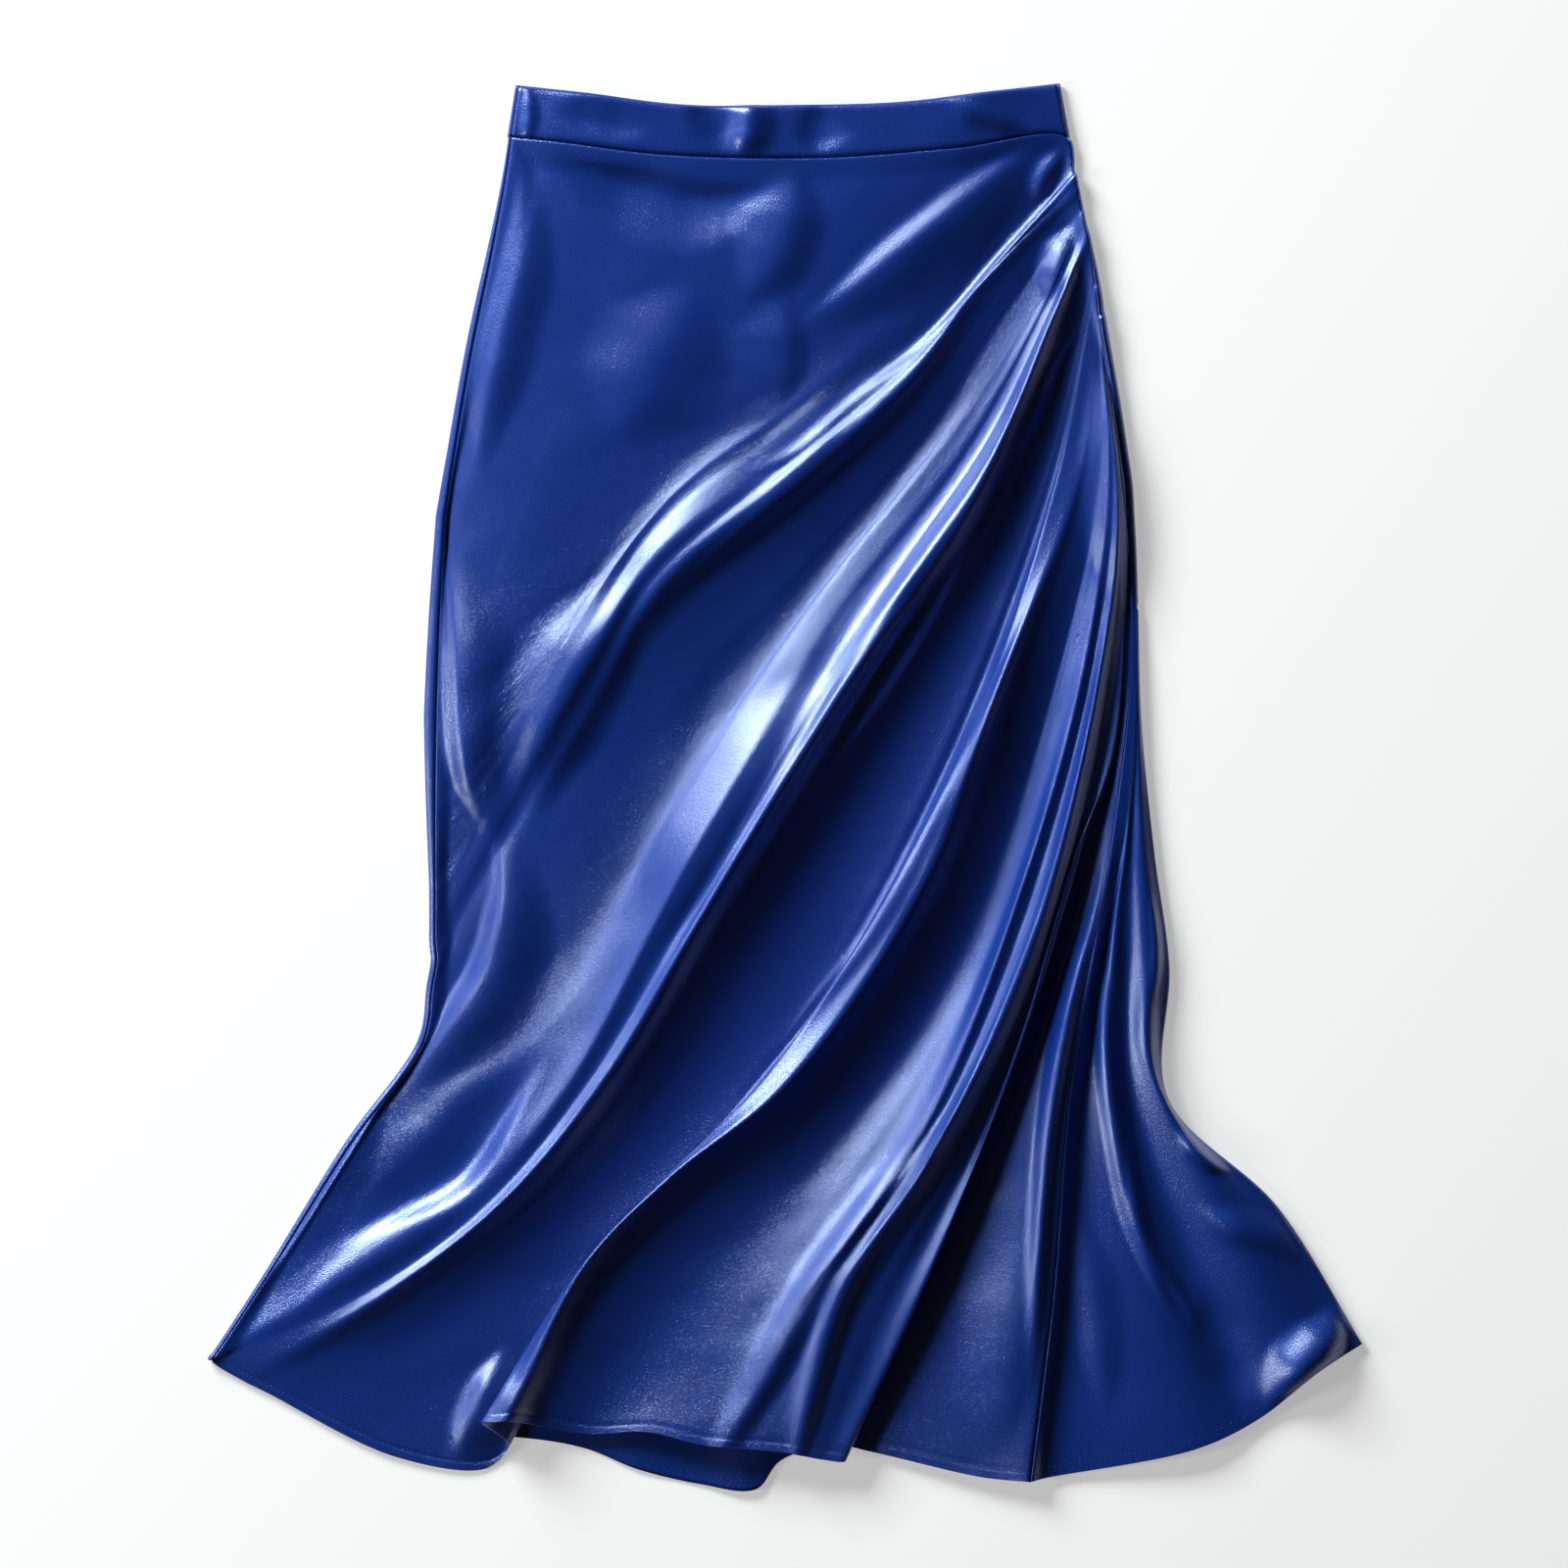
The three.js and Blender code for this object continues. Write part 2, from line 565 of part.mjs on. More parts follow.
const frontHemRuns = FRONT_HEMS.map(({ name, from, to }) => {
  const [first, last] = [columnOf(FRONT_LINES, from), columnOf(FRONT_LINES, to)];
  const rows = front.numbers.slice(-2).map((row) => row.slice(first, last + 1));
  return pieceOf(name, hemStrip(front.face, frontNormals, rows), SATIN_INSIDE);
});
const floorHemRows = [back.edge.slice(1, -1), back.stitched.slice(1, -1)];
const flareHemRows = back.flare.slice(-2).map((row) => row.slice(SEAM_COLUMNS, -TURN_COLUMNS));

const skirt = new THREE.Group();
skirt.add(
  pieceOf("front_panel", wall(front.face, 0, CLOTH, frontNormals), SATIN),
  pieceOf("back_panel", wall(back.face, 0, CLOTH, backNormals), SATIN),
  pieceOf("waistband_front", wall(bandFront, 0, BAND_CLOTH, bandNormals), SATIN),
  pieceOf("waistband_back", wall(bandBack, 0, BAND_CLOTH, bandBackNormals), SATIN),
  ...frontHemRuns,
  pieceOf("back_hem", hemStrip(back.face, backNormals, floorHemRows), SATIN_INSIDE),
  pieceOf("back_hem_flare", hemStrip(back.face, backNormals, flareHemRows), SATIN_INSIDE),
);
skirt.position.copy(CENTRE).negate();

export default skirt;
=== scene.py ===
import math

import bpy
import numpy as np
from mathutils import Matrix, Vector
from mathutils.geometry import tessellate_polygon


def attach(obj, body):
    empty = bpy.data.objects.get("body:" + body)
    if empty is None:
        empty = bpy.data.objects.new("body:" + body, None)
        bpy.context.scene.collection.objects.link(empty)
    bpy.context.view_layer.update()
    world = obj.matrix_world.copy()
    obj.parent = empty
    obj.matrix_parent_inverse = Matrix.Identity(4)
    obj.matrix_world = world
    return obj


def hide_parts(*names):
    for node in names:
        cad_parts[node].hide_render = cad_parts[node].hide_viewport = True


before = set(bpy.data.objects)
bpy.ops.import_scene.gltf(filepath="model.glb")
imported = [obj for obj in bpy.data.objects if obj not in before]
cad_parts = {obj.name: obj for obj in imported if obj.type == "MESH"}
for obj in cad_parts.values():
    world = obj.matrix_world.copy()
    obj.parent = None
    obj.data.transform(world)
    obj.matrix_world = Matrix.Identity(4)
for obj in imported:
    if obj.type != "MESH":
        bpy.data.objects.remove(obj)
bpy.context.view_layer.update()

# A satin slip skirt lying flat with its front up. Every cloth piece is a thin shell through the
# lines of its drape: +X to the right, +Y up to the waistband, +Z away from the surface. Lines are
# in millimetres, as a pattern is drawn. SHIFT centres them, and MM turns them into metres.
MM = 0.001
SHIFT = np.array([1.0, 0.45, 0.0])

# Walls of the panels, the doubled waistband and the turned hem, and the gap at every seam
CLOTH = 0.8
BAND_CLOTH = 1.3
HEM_CLOTH = 0.7
SEAM_GAP = 0.35
HEM_DEPTH = 6

# A loft's widest strips, its rows from waist to hem, and the close rows near a seam or an edge
STRIP = 4.2
FLARE_STRIP = 3.4
ROW_STEPS = 200
SEAM_EDGE = (0.5, 1.2, 2.2, 3.6, 5.2, 6.0, 6.8)
# A crest's foot: how much of the fall is over there, and how far on the way it may lie
FOOT_FALL = 0.72
FOOT_LIMIT = 0.5
# What leaves a point's place in plan
PLAN = np.array([1, 1, 0])

# ---------------------------------------------------------------- lines of the drape

# name, dip of the hollow before the next line, reach of the foot past a crest, way (x, y, z)
FRONT_LINES = [
    ("left seam", 0, 0, [
        (-169, 397, 5), (-172, 375, 5), (-181, 325, 5.5), (-193, 265, 6), (-203, 205, 6),
        (-209, 165, 6)]),
    ("left slope", 0, 0, [
        (-140, 394, 9), (-154, 345, 9.5), (-172, 275, 10), (-189, 205, 9.5), (-202, 155, 8.5),
        (-212, 110, 6)]),
    ("left body", 0, 0, [
        (-75, 386, 10.5), (-112, 305, 11.5), (-148, 215, 12), (-177, 135, 11.5), (-202, 80, 9),
        (-214, 55, 6)]),
    ("middle body", 0, 0, [
        (20, 384, 11), (-38, 302, 12), (-100, 212, 12.5), (-156, 108, 12), (-195, 24, 9.5),
        (-215, -5, 6)]),
    ("right body", 0, 0, [
        (103, 390, 11), (50, 318, 11), (-5, 254, 11.5), (-80, 184, 12), (-140, 94, 11.5),
        (-215, -50, 6)]),
    ("hollow over the tuck", 0, 0, [
        (171, 397, 6), (120, 336, 8), (78, 295, 9.5), (15, 240, 12), (-70, 177, 13), (-130, 95, 12),
        (-215, -78, 6)]),
    ("foot of the tuck", 0, 0, [
        (174.8, 375.5, 6), (129.4, 325.5, 5.5), (81.5, 273.5, 8), (17, 231, 12.5), (-19, 204, 13.5),
        (-56, 178, 14), (-87, 147, 13.5), (-111, 110, 12.5), (-134, 72, 11.8), (-175, -7, 8.8),
        (-215, -86, 6)]),
    ("tuck, soft crest", 3, 0, [
        (176, 374, 9), (131, 324, 11), (84, 271, 10.5), (5, 207, 14.5), (-83, 138, 19.5),
        (-126, 66, 13), (-215, -94, 6)]),
    ("tuck, sharp crest", 0, 17, [
        (178, 364, 8), (114, 302, 12), (79, 258, 15), (-2, 187, 20), (-79, 120, 19),
        (-116, 58, 12.5), (-214, -106, 6)]),
    ("plain left of the long fold", 0, 0, [
        (179.5, 356, 7), (128, 285, 7), (85, 220, 7.5), (10, 135, 8), (-80, 40, 9),
        (-150, -60, 9.5), (-222, -156, 6.5)]),
    ("plain beside the long fold", 0, 0, [
        (180, 353, 7), (138, 288, 7), (94, 216, 7.5), (15, 116, 8), (-78, -8, 8.5),
        (-152, -116, 10), (-268, -221, 6)]),
    ("rise of the long fold", 0, 0, [
        (180.5, 351, 7.5), (147, 286, 8), (104, 219, 8.5), (24, 120, 12), (-66, -14, 12),
        (-134, -134, 12), (-225, -220, 9.5), (-319, -302, 6)]),
    ("long fold, soft crest", 0, 0, [
        (181, 348, 8), (157, 291, 9), (107, 200, 10), (29, 97, 15), (-59, -47, 20.5),
        (-136, -189, 18.5), (-198, -259, 15.5), (-286, -314, 12), (-349, -347, 6.5)]),
    ("hem tip", 0, 0, [
        (182, 343, 8.5), (159, 287, 10), (120, 207, 10.5), (35, 88, 16), (-50, -58, 18.5),
        (-124, -184, 17), (-190, -262, 15), (-270, -316, 11.5), (-352, -351, 6.5)]),
    ("long fold, sharp crest", 0, 18, [
        (184, 336, 9), (161, 284, 17), (121, 192, 22), (47, 81, 25), (-43, -65, 25),
        (-110, -177, 22), (-172, -252, 20), (-251, -314, 15), (-334, -363, 6.5)]),
    ("floor of the left lobe", 0, 0, [
        (187, 316, 8), (152, 190, 8), (85, 48, 8), (5, -100, 8), (-75, -215, 8), (-150, -300, 8),
        (-240, -410, 6.5)]),
    ("end of the left lobe", 0, 0, [
        (187.5, 312, 8), (160, 190, 8.5), (106, 40, 9.5), (30, -112, 9.5), (-55, -222, 8),
        (-122, -300, 6.5), (-183, -417, 5.5)]),
    ("return under the middle lobe", 0, 0, [
        (188, 308, 8), (164, 190, 8), (111, 38, 8.5), (37, -110, 8.5), (-45, -216, 8),
        (-106, -292, 7), (-171, -402, 6)]),
    ("middle fold, soft crest", 3, 0, [
        (188.5, 304, 9), (168, 200, 12), (128, 73, 17), (70, -49, 19.5), (-8, -171, 19),
        (-83, -247, 16), (-128, -296, 15), (-187, -388, 13)]),
    ("middle fold, sharp crest", 0, 20, [
        (189.5, 296, 9), (178, 190, 14), (133, 72, 21), (79, -65, 25), (0, -180, 25),
        (-72, -238, 25), (-125, -293, 25), (-171, -387, 21)]),
    ("notch in the middle lobe", 0, 0, [
        (190, 290, 9), (190, 190, 9), (160, 55, 8), (108, -92, 8), (30, -212, 8), (-48, -286, 9),
        (-92, -340, 9.5), (-122, -396, 8)]),
    ("swell of the middle lobe", 0, 0, [
        (190.5, 288, 9), (193, 188, 10), (165, 50, 10), (125, -91, 11), (55, -212, 11),
        (-12, -298, 11.5), (-48, -346, 12), (-86, -394.5, 12.5)]),
    ("side fold, soft crest", 4, 0, [
        (191, 286, 10), (196, 182, 12), (181, 70, 15), (143, -61, 19), (85, -205, 21),
        (5, -316, 17), (-53, -402, 14)]),
    ("side fold, sharp crest", 0, 16, [
        (192, 279, 10), (202, 165, 13), (191, 70, 16), (153, -81, 22), (89, -225, 25),
        (28, -316, 20), (1, -407, 16)]),
    ("slope to the draped edge", 0, 0, [
        (200, 232, 8), (205.5, 150, 9), (199, 55, 10), (170, -75, 13), (115, -215, 15),
        (58, -320, 15), (22, -411, 15)]),
    ("draped edge", 0, 0, [
        (204, 205, 7.5), (206, 122, 9), (199.5, 22, 12.5), (175, -46, 17), (141, -161, 19),
        (89, -294, 19), (36, -412, 14)]),
    ("under the draped edge", 0, 0, [
        (206.8, 185, 7), (207.2, 110, 8), (198, 14, 8.8), (171, -53, 8.5), (134, -166, 8),
        (81, -296, 7.5), (34, -404, 7)]),
    ("side pleat, hollow", 0, 0, [
        (208, 165, 6.5), (207.9, 97, 7.7), (199.5, 8, 9.2), (181, -56, 8), (147, -166, 7.5),
        (96, -292, 7), (52, -407, 7)]),
    ("side pleat, swell", 0, 0, [
        (209, 145, 6.5), (208.5, 84, 7.9), (200.5, 0, 10.4), (190, -67, 12), (165, -160, 13.5),
        (139, -292, 12.5), (118, -422, 10.5)]),
    ("right seam", 0, 0, [
        (210, 108, 6), (208.5, 48, 8.3), (200, -20, 11.6), (190, -90, 14.5), (173, -187, 15.5),
        (163, -310, 14), (149, -425, 12)]),
]

# The same columns, from the seam by the pleat out to the right edge
FLARE_LINES = [
    ("foot of the seam", 0, 0, [
        (211.5, 108, 6.2), (211.5, 46, 8.1), (206.5, -23, 9.8), (195.5, -91, 8), (181, -187, 7.5),
        (172, -308, 7), (158, -423, 6)]),
    ("first flute", 0, 0, [
        (212.5, 108, 6), (213, 45, 8), (208.5, -25, 10), (200, -92, 11.5), (197, -190, 11),
        (221, -290, 11), (250, -405, 10)]),
    ("hollow between the flutes", 0, 0, [
        (213.5, 108, 6), (214.2, 44, 7.6), (211, -28, 8.5), (210, -96, 7.5), (209, -180, 7),
        (243, -283, 6.5), (290, -386, 6)]),
    ("second flute", 0, 0, [
        (214.3, 108, 5.7), (215.5, 42, 7), (217, -33, 9.5), (224, -102, 11), (221, -165, 12),
        (266, -255, 14), (323, -359, 10)]),
    ("right edge", 0, 0, [
        (215, 108, 4.5), (217, 38, 5), (225, -42, 5), (234, -110, 5), (233, -190, 5),
        (300, -257, 5), (352, -341, 4)]),
]

# name, rise, width on the left hand and on the right hand along the way, way in plan (x, y)
SOFT_FOLDS = [
    ("ridge at the left corner", 4.5, 26, 18, [
        (-164, 392), (-161, 356), (-164, 316), (-173, 284), (-183, 236), (-192, 182)]),
    ("hollow under the band", -5, 16, 36, [(-146, 386), (-98, 368), (-50, 358), (-7, 368)]),
    ("swell under the band", 4.5, 25, 38, [(2, 382), (3, 352), (-8, 320), (-31, 297)]),
    ("upper ridge to the corner", 5.5, 34, 17, [
        (161, 398), (139, 381), (88, 340), (39, 302), (5, 279)]),
    ("hook at the corner", 4, 10, 11, [(171, 392), (159, 374), (151, 354)]),
    ("swell of the belly", 4.5, 48, 48, [(-53, 308), (-81, 256), (-104, 206)]),
    ("crease of the belly", 2.5, 18, 42, [(-5, 302), (-2, 266), (-7, 230)]),
    ("side ridge, upper", 7, 40, 17, [(-208, 146), (-201, 92), (-199, 44), (-193, 2), (-176, -40)]),
    ("side ridge, lower", 8, 38, 15, [
        (-182, -22), (-173, -52), (-175, -88), (-185, -118), (-205, -148), (-219, -166),
        (-233, -189)]),
    ("end of the tuck", 8.5, 36, 42, [(-92, 134), (-128, 74), (-148, 26), (-158, -22)]),
    ("hollow of the left lobe", -7, 13, 42, [
        (-146, -160), (-175, -202), (-201, -238), (-242, -260), (-284, -284)]),
    ("ridge by the flare seam", 5, 26, 12, [
        (-242, -170), (-275, -226), (-302, -274), (-325, -316)]),
    ("spread of the long fold", 2.2, 16, 13, [
        (-188, -248), (-236, -274), (-275, -298), (-302, -320)]),
    ("swell at the left hem", 7, 12, 36, [(-206, -416), (-191, -382), (-170, -340)]),
    ("belly of the long fold", 6, 18, 48, [(28, 74), (-17, 8), (-50, -46), (-86, -106)]),
    ("line of the tuck, upper", 2, 8, 6, [(103, 285), (88, 270), (43, 236), (1, 202), (-35, 188)]),
    ("line of the tuck, lower", 3, 10, 7, [
        (124, 308), (114, 297), (81, 255), (30, 204), (-24, 159), (-62, 126), (-95, 94)]),
    ("line of the long fold, upper", 2.5, 8, 7, [
        (163, 284), (157, 268), (127, 208), (91, 154), (49, 94), (7, 40)]),
    ("line of the long fold, lower", 3, 10, 7, [
        (169, 308), (166, 292), (151, 238), (121, 184), (85, 124), (49, 80), (-5, -4), (-62, -94),
        (-116, -178)]),
    ("line of the side fold", 3, 11, 8, [
        (196, 146), (190, 68), (176, -4), (154, -92), (114, -182), (53, -258), (3, -318)]),
    ("streak to the hem, left", 5, 13, 18, [
        (84, -202), (65, -232), (50, -256), (29, -289), (5, -328), (-11, -358), (-33, -394),
        (-49, -424), (-62, -454)]),
    ("streak to the hem, right", 4, 11, 12, [
        (69, -255), (52, -279), (32, -314), (20, -352), (8, -400), (1, -448)]),
    ("line of the middle fold", 3, 11, 8, [
        (155, 134), (151, 116), (127, 58), (98, -2), (49, -91), (10, -141), (-20, -184)]),
    ("ridge on the shaded side", 2.5, 5, 6, [(185, 286), (164, 256), (151, 226), (124, 182)]),
    ("second shaded ridge", 2.5, 7, 8, [(118, 170), (88, 110), (52, 52), (22, 8)]),
    ("swell at the hip", 4.5, 12, 14, [(175, 345), (165, 321), (159, 296)]),
    ("right hip ridge", 7, 12, 26, [(191, 266), (202, 200), (203, 146), (206, 98)]),
    ("swell beside the pleat", 3, 24, 40, [(154, -268), (142, -322), (131, -406)]),
    ("crest beside the seam", 6.5, 10, 10, [
        (197, -10), (190, -68), (178, -110), (168, -154), (160, -208), (155, -274), (152, -346),
        (146, -418)]),
]

FLARE_FOLDS = [
    ("flute by the seam", 4, 13, 9, [
        (191, -88), (193, -148), (200, -208), (212, -268), (232, -316), (247, -342)]),
    ("thin flute", 2, 8, 7, [(207, -208), (218, -274), (243, -315), (255, -339)]),
    ("upper edge flute", 2.5, 10, 12, [
        (211, -16), (215, -88), (219, -142), (224, -174), (238, -214)]),
    ("second edge flute", 1.5, 5, 5, [(221, -58), (226, -94), (224, -136)]),
    ("shoulder of the flare", 4, 12, 8, [(237, -208), (253, -226), (275, -237)]),
    ("swell at the right hem", 10, 16, 26, [(343, -312), (331, -339), (310, -360), (290, -382)]),
    ("arc at the right hem", -3, 24, 24, [(254, -304), (268, -346), (280, -388)]),
    ("bump in the flare", 3, 18, 14, [(247, -254), (268, -268), (298, -276), (322, -298)]),
    ("soft flute", 2.5, 18, 18, [(178, -256), (189, -316), (196, -388)]),
]

BAND_TOP = [(-164, 429), (-122, 424), (-66, 417), (0, 416.5), (70, 418.5), (124, 425), (165, 430)]

# length down the side seam, how far the back panel rolls out past it
LEFT_STRIP = [
    (0, 1.5), (49, 2.5), (97, 4), (195, 5), (235, 6), (358, 8), (463, 4), (620, 4), (792, 2.5)]
RIGHT_STRIP = [(0, 1.5), (43, 1.5), (69, 2), (99, 4), (124, 4.5), (293, 5)]

BACK_HEM = [
    (-348, -351), (-250, -398), (-170, -398), (-124, -405), (-91, -418), (-53, -427), (-19, -430),
    (-3, -412), (60, -398), (150, -412), (260, -394), (347, -341)]


# ---------------------------------------------------------------- curves and lofts

# Least root of a gap and least length that are divided by, and steps to a point when measuring
LEAST_ROOT = 1e-4
LEAST_LENGTH = 1e-9
FINE = 40


def ease(t):
    """A smooth step from 0 to 1."""
    t = np.clip(t, 0, 1)
    return t * t * (3 - 2 * t)


def unit(ways):
    """Directions made one long."""
    return ways / np.maximum(np.linalg.norm(ways, axis=-1, keepdims=True), LEAST_LENGTH)


def run_of(points):
    """Length along a chain up to each of its points."""
    return np.r_[0, np.cumsum(np.linalg.norm(np.diff(points, axis=0), axis=1))]


def root_gap(a, b):
    """Square roots of the distances between points, which keep the curve from looping."""
    return np.maximum(np.sqrt(np.linalg.norm(b - a, axis=1)), LEAST_ROOT)[:, None]


def spline(points, places):
    """Points on the centripetal curve through a list; places run from 0 to the last point."""
    p = np.asarray(points, float)
    p = np.vstack([2 * p[0] - p[1], p, 2 * p[-1] - p[-2]])
    places = np.clip(np.asarray(places, float), 0, len(points) - 1)
    k = np.minimum(places.astype(int), len(points) - 2)
    t = (places - k)[:, None]
    a, b, c, d = p[k], p[k + 1], p[k + 2], p[k + 3]
    g0, g1, g2 = root_gap(a, b), root_gap(b, c), root_gap(c, d)
    m1 = ((b - a) / g0 - (c - a) / (g0 + g1) + (c - b) / g1) * g1
    m2 = ((c - b) / g1 - (d - b) / (g1 + g2) + (d - c) / g2) * g1
    h = -3 * b + 3 * c - 2 * m1 - m2
    e = 2 * b - 2 * c + m1 + m2
    return b + t * (m1 + t * (h + t * e))


def along(points, shares):
    """Points at shares of the length of the curve through a list of points."""
    places = np.linspace(0, len(points) - 1, FINE * len(points))
    fine = spline(points, places)
    length = run_of(fine)
    return spline(points, np.interp(np.asarray(shares) * length[-1], length, places))


def sections(lines, shares):
    """Control points of a loft's sections (rows, lines, xyz), with hollows and feet added."""
    ways = [along(way, shares) for _, _, _, way in lines]
    names = []
    columns = []
    for k, (name, dip, reach, _) in enumerate(lines):
        names.append(name)
        columns.append(ways[k])
        if k == len(lines) - 1:
            break
        here, there = ways[k], ways[k + 1]
        if reach:
            length = np.linalg.norm(there - here, axis=1)
            share = np.minimum(reach / length, FOOT_LIMIT)[:, None]
            foot = here + (there - here) * share
            foot[:, 2] = here[:, 2] + (there[:, 2] - here[:, 2]) * FOOT_FALL
            names.append("foot of " + name)
            columns.append(foot)
        elif dip:
            hollow = (here + there) / 2
            hollow[:, 2] -= dip * np.sin(np.pi * np.asarray(shares))
            names.append("hollow of " + name)
            columns.append(hollow)
    return names, np.stack(columns, axis=1)


# Strips across the narrowest gap between two lines
LEAST_STRIPS = 2


def even(values):
    """Drops one value from the middle of a list with an even count, so that its gaps pair up."""
    return values if len(values) % 2 else np.delete(values, len(values) // 2)


def places_across(control, strip):
    """Places across a loft's lines, as many in each gap as its widest spot asks for."""
    gaps = np.linalg.norm(np.diff(control, axis=1), axis=2).max(axis=0)
    counts = np.maximum(np.ceil(gaps / strip).astype(int), LEAST_STRIPS)
    places = np.concatenate([k + np.arange(n) / n for k, n in enumerate(counts)])
    return np.r_[places, len(counts)]


def rows_for(count, length, edges):
    """Shares of the way down the cloth, closer together beside the seam at the top and the hem."""
    rows = np.arange(count + 1) / count
    near = np.array(edges) / length
    return np.unique(np.round(np.r_[rows, near, 1 - near], 6))


def loft(lines, shares, strip, paired=False):
    """Grid of points (rows, columns, xyz) through the lines of a drape, in millimetres."""
    names, control = sections(lines, shares)
    places = places_across(control, strip)
    if paired:
        places = even(places)
    grid = np.stack([spline(row, places) for row in control])
    return grid, places, names


# Share of a fold's length over which each end fades, its width at the tip, and its straight parts
FOLD_ENDS = 0.4
FOLD_POINT = 0.35
FOLD_PARTS = 16


def fold_height(x, y, way, rise, left, right):
    """Height of one soft fold over points in plan."""
    crest = along([(a, b, 0) for a, b in way], np.linspace(0, 1, FOLD_PARTS + 1))[:, :2]
    nearest = np.full(x.shape, np.inf)
    height = np.zeros(x.shape)
    for i in range(len(crest) - 1):
        a, d = crest[i], crest[i + 1] - crest[i]
        px, py = x - a[0], y - a[1]
        t = np.clip((px * d[0] + py * d[1]) / (d @ d), 0, 1)
        gap = np.hypot(px - t * d[0], py - t * d[1])
        side = d[0] * py - d[1] * px
        share = (i + t) / (len(crest) - 1)
        fade = ease(np.minimum(share, 1 - share) / FOLD_ENDS)
        width = np.where(side > 0, left, right) * (FOLD_POINT + (1 - FOLD_POINT) * fade)
        here = rise * (1 - ease(gap / width)) * fade
        closer = gap < nearest
        height = np.where(closer, here, height)
        nearest = np.where(closer, gap, nearest)
    return height


# ---------------------------------------------------------------- faces and shells

class Face:
    """An open face of cloth, gathered from patches that share points."""

    def __init__(self):
        self.points = np.zeros((0, 3))
        self.polygons = []

    def add(self, grid):
        """Adds points and gives their numbers, in the shape of the grid."""
        start = len(self.points)
        grid = np.asarray(grid, float)
        self.points = np.vstack([self.points, grid.reshape(-1, 3)])
        return start + np.arange(grid.size // 3).reshape(grid.shape[:-1])

    def patch(self, numbers):
        """Quads of a grid of point numbers, outer side up where rows run down and columns right."""
        a, b = numbers[:-1, :-1], numbers[:-1, 1:]
        c, d = numbers[1:, 1:], numbers[1:, :-1]
        self.polygons += np.stack([a, d, c, b], axis=-1).reshape(-1, 4).tolist()

    def zip(self, upper, lower):
        """Triangles between two chains of point numbers with unlike counts."""
        i = j = 0
        while i < len(upper) - 1 or j < len(lower) - 1:
            upper_first = (i + 1) * (len(lower) - 1) <= (j + 1) * (len(upper) - 1)
            if j == len(lower) - 1 or (i < len(upper) - 1 and upper_first):
                self.polygons.append([upper[i], lower[j], upper[i + 1]])
                i += 1
            else:
                self.polygons.append([upper[i], lower[j], lower[j + 1]])
                j += 1

    def flat(self, ring):
        """Triangles inside a ring of point numbers, outer side down."""
        loop = [Vector((*self.points[n][:2], 0)) for n in ring]
        for a, b, c in tessellate_polygon([loop]):
            p, q, r = (self.points[ring[n]] for n in (a, b, c))
            up = np.cross(q - p, r - p)[2] > 0
            corners = [ring[a], ring[b], ring[c]]
            self.polygons.append(corners[::-1] if up else corners)

    def normals(self):
        """Outward directions at the points, from the faces round each."""
        sums = np.zeros_like(self.points)
        for size in (3, 4):
            faces = np.array([f for f in self.polygons if len(f) == size])
            if not len(faces):
                continue
            p = self.points[faces]
            area = np.cross(p[:, 2] - p[:, 0], p[:, 3] - p[:, 1]) if size == 4 else np.cross(
                p[:, 1] - p[:, 0], p[:, 2] - p[:, 0])
            for corner in range(size):
                np.add.at(sums, faces[:, corner], area)
        return unit(sums)


def grid_normals(grid):
    """Outward normals of a lofted grid whose rows run down and columns right."""
    down = np.gradient(grid, axis=0)
    right = np.gradient(grid, axis=1)
    return unit(np.cross(down, right))


def shell(points, polygons, normals, depth):
    """Points and polygons of a closed wall under an open face."""
    count = len(points)
    points = np.vstack([points, points - normals * depth])
    sides = {}
    for f in polygons:
        for a, b in zip(f, f[1:] + f[:1]):
            if sides.pop((b, a), None) is None:
                sides[(a, b)] = True
    inner = [[count + n for n in reversed(f)] for f in polygons]
    return points, polygons + inner + [[b, a, count + a, count + b] for a, b in sides]


def grid_shell(grid, depth, normals=None):
    """Points and polygons of a closed wall under a grid, along its own normals or those given."""
    face = Face()
    face.patch(face.add(grid))
    normals = face.normals() if normals is None else normals.reshape(-1, 3)
    return shell(face.points, face.polygons, normals, depth)


def coarse_shell(grid, normals, depth):
    """Closed wall of a lofted grid whose hidden inner side has half the rows and columns."""
    rows, columns = grid.shape[:2]
    outer = np.arange(rows * columns).reshape(rows, columns)
    inside = (grid - normals * depth)[::2, ::2]
    inner = rows * columns + np.arange(inside.size // 3).reshape(inside.shape[:2])
    points = np.vstack([grid.reshape(-1, 3), inside.reshape(-1, 3)])
    quads = [outer[:-1, :-1], outer[1:, :-1], outer[1:, 1:], outer[:-1, 1:]]
    polygons = np.stack(quads, axis=-1).reshape(-1, 4).tolist()
    quads = [inner[:-1, :-1], inner[:-1, 1:], inner[1:, 1:], inner[1:, :-1]]
    polygons += np.stack(quads, axis=-1).reshape(-1, 4).tolist()
    sides = [
        (outer[0], inner[0]), (outer[:, -1], inner[:, -1]),
        (outer[-1, ::-1], inner[-1, ::-1]), (outer[::-1, 0], inner[::-1, 0])]
    for fine, plain in sides:
        for k in range(len(plain) - 1):
            polygons.append([int(n) for n in (
                fine[2 * k], fine[2 * k + 1], fine[2 * k + 2], plain[k + 1], plain[k])])
    return points, polygons


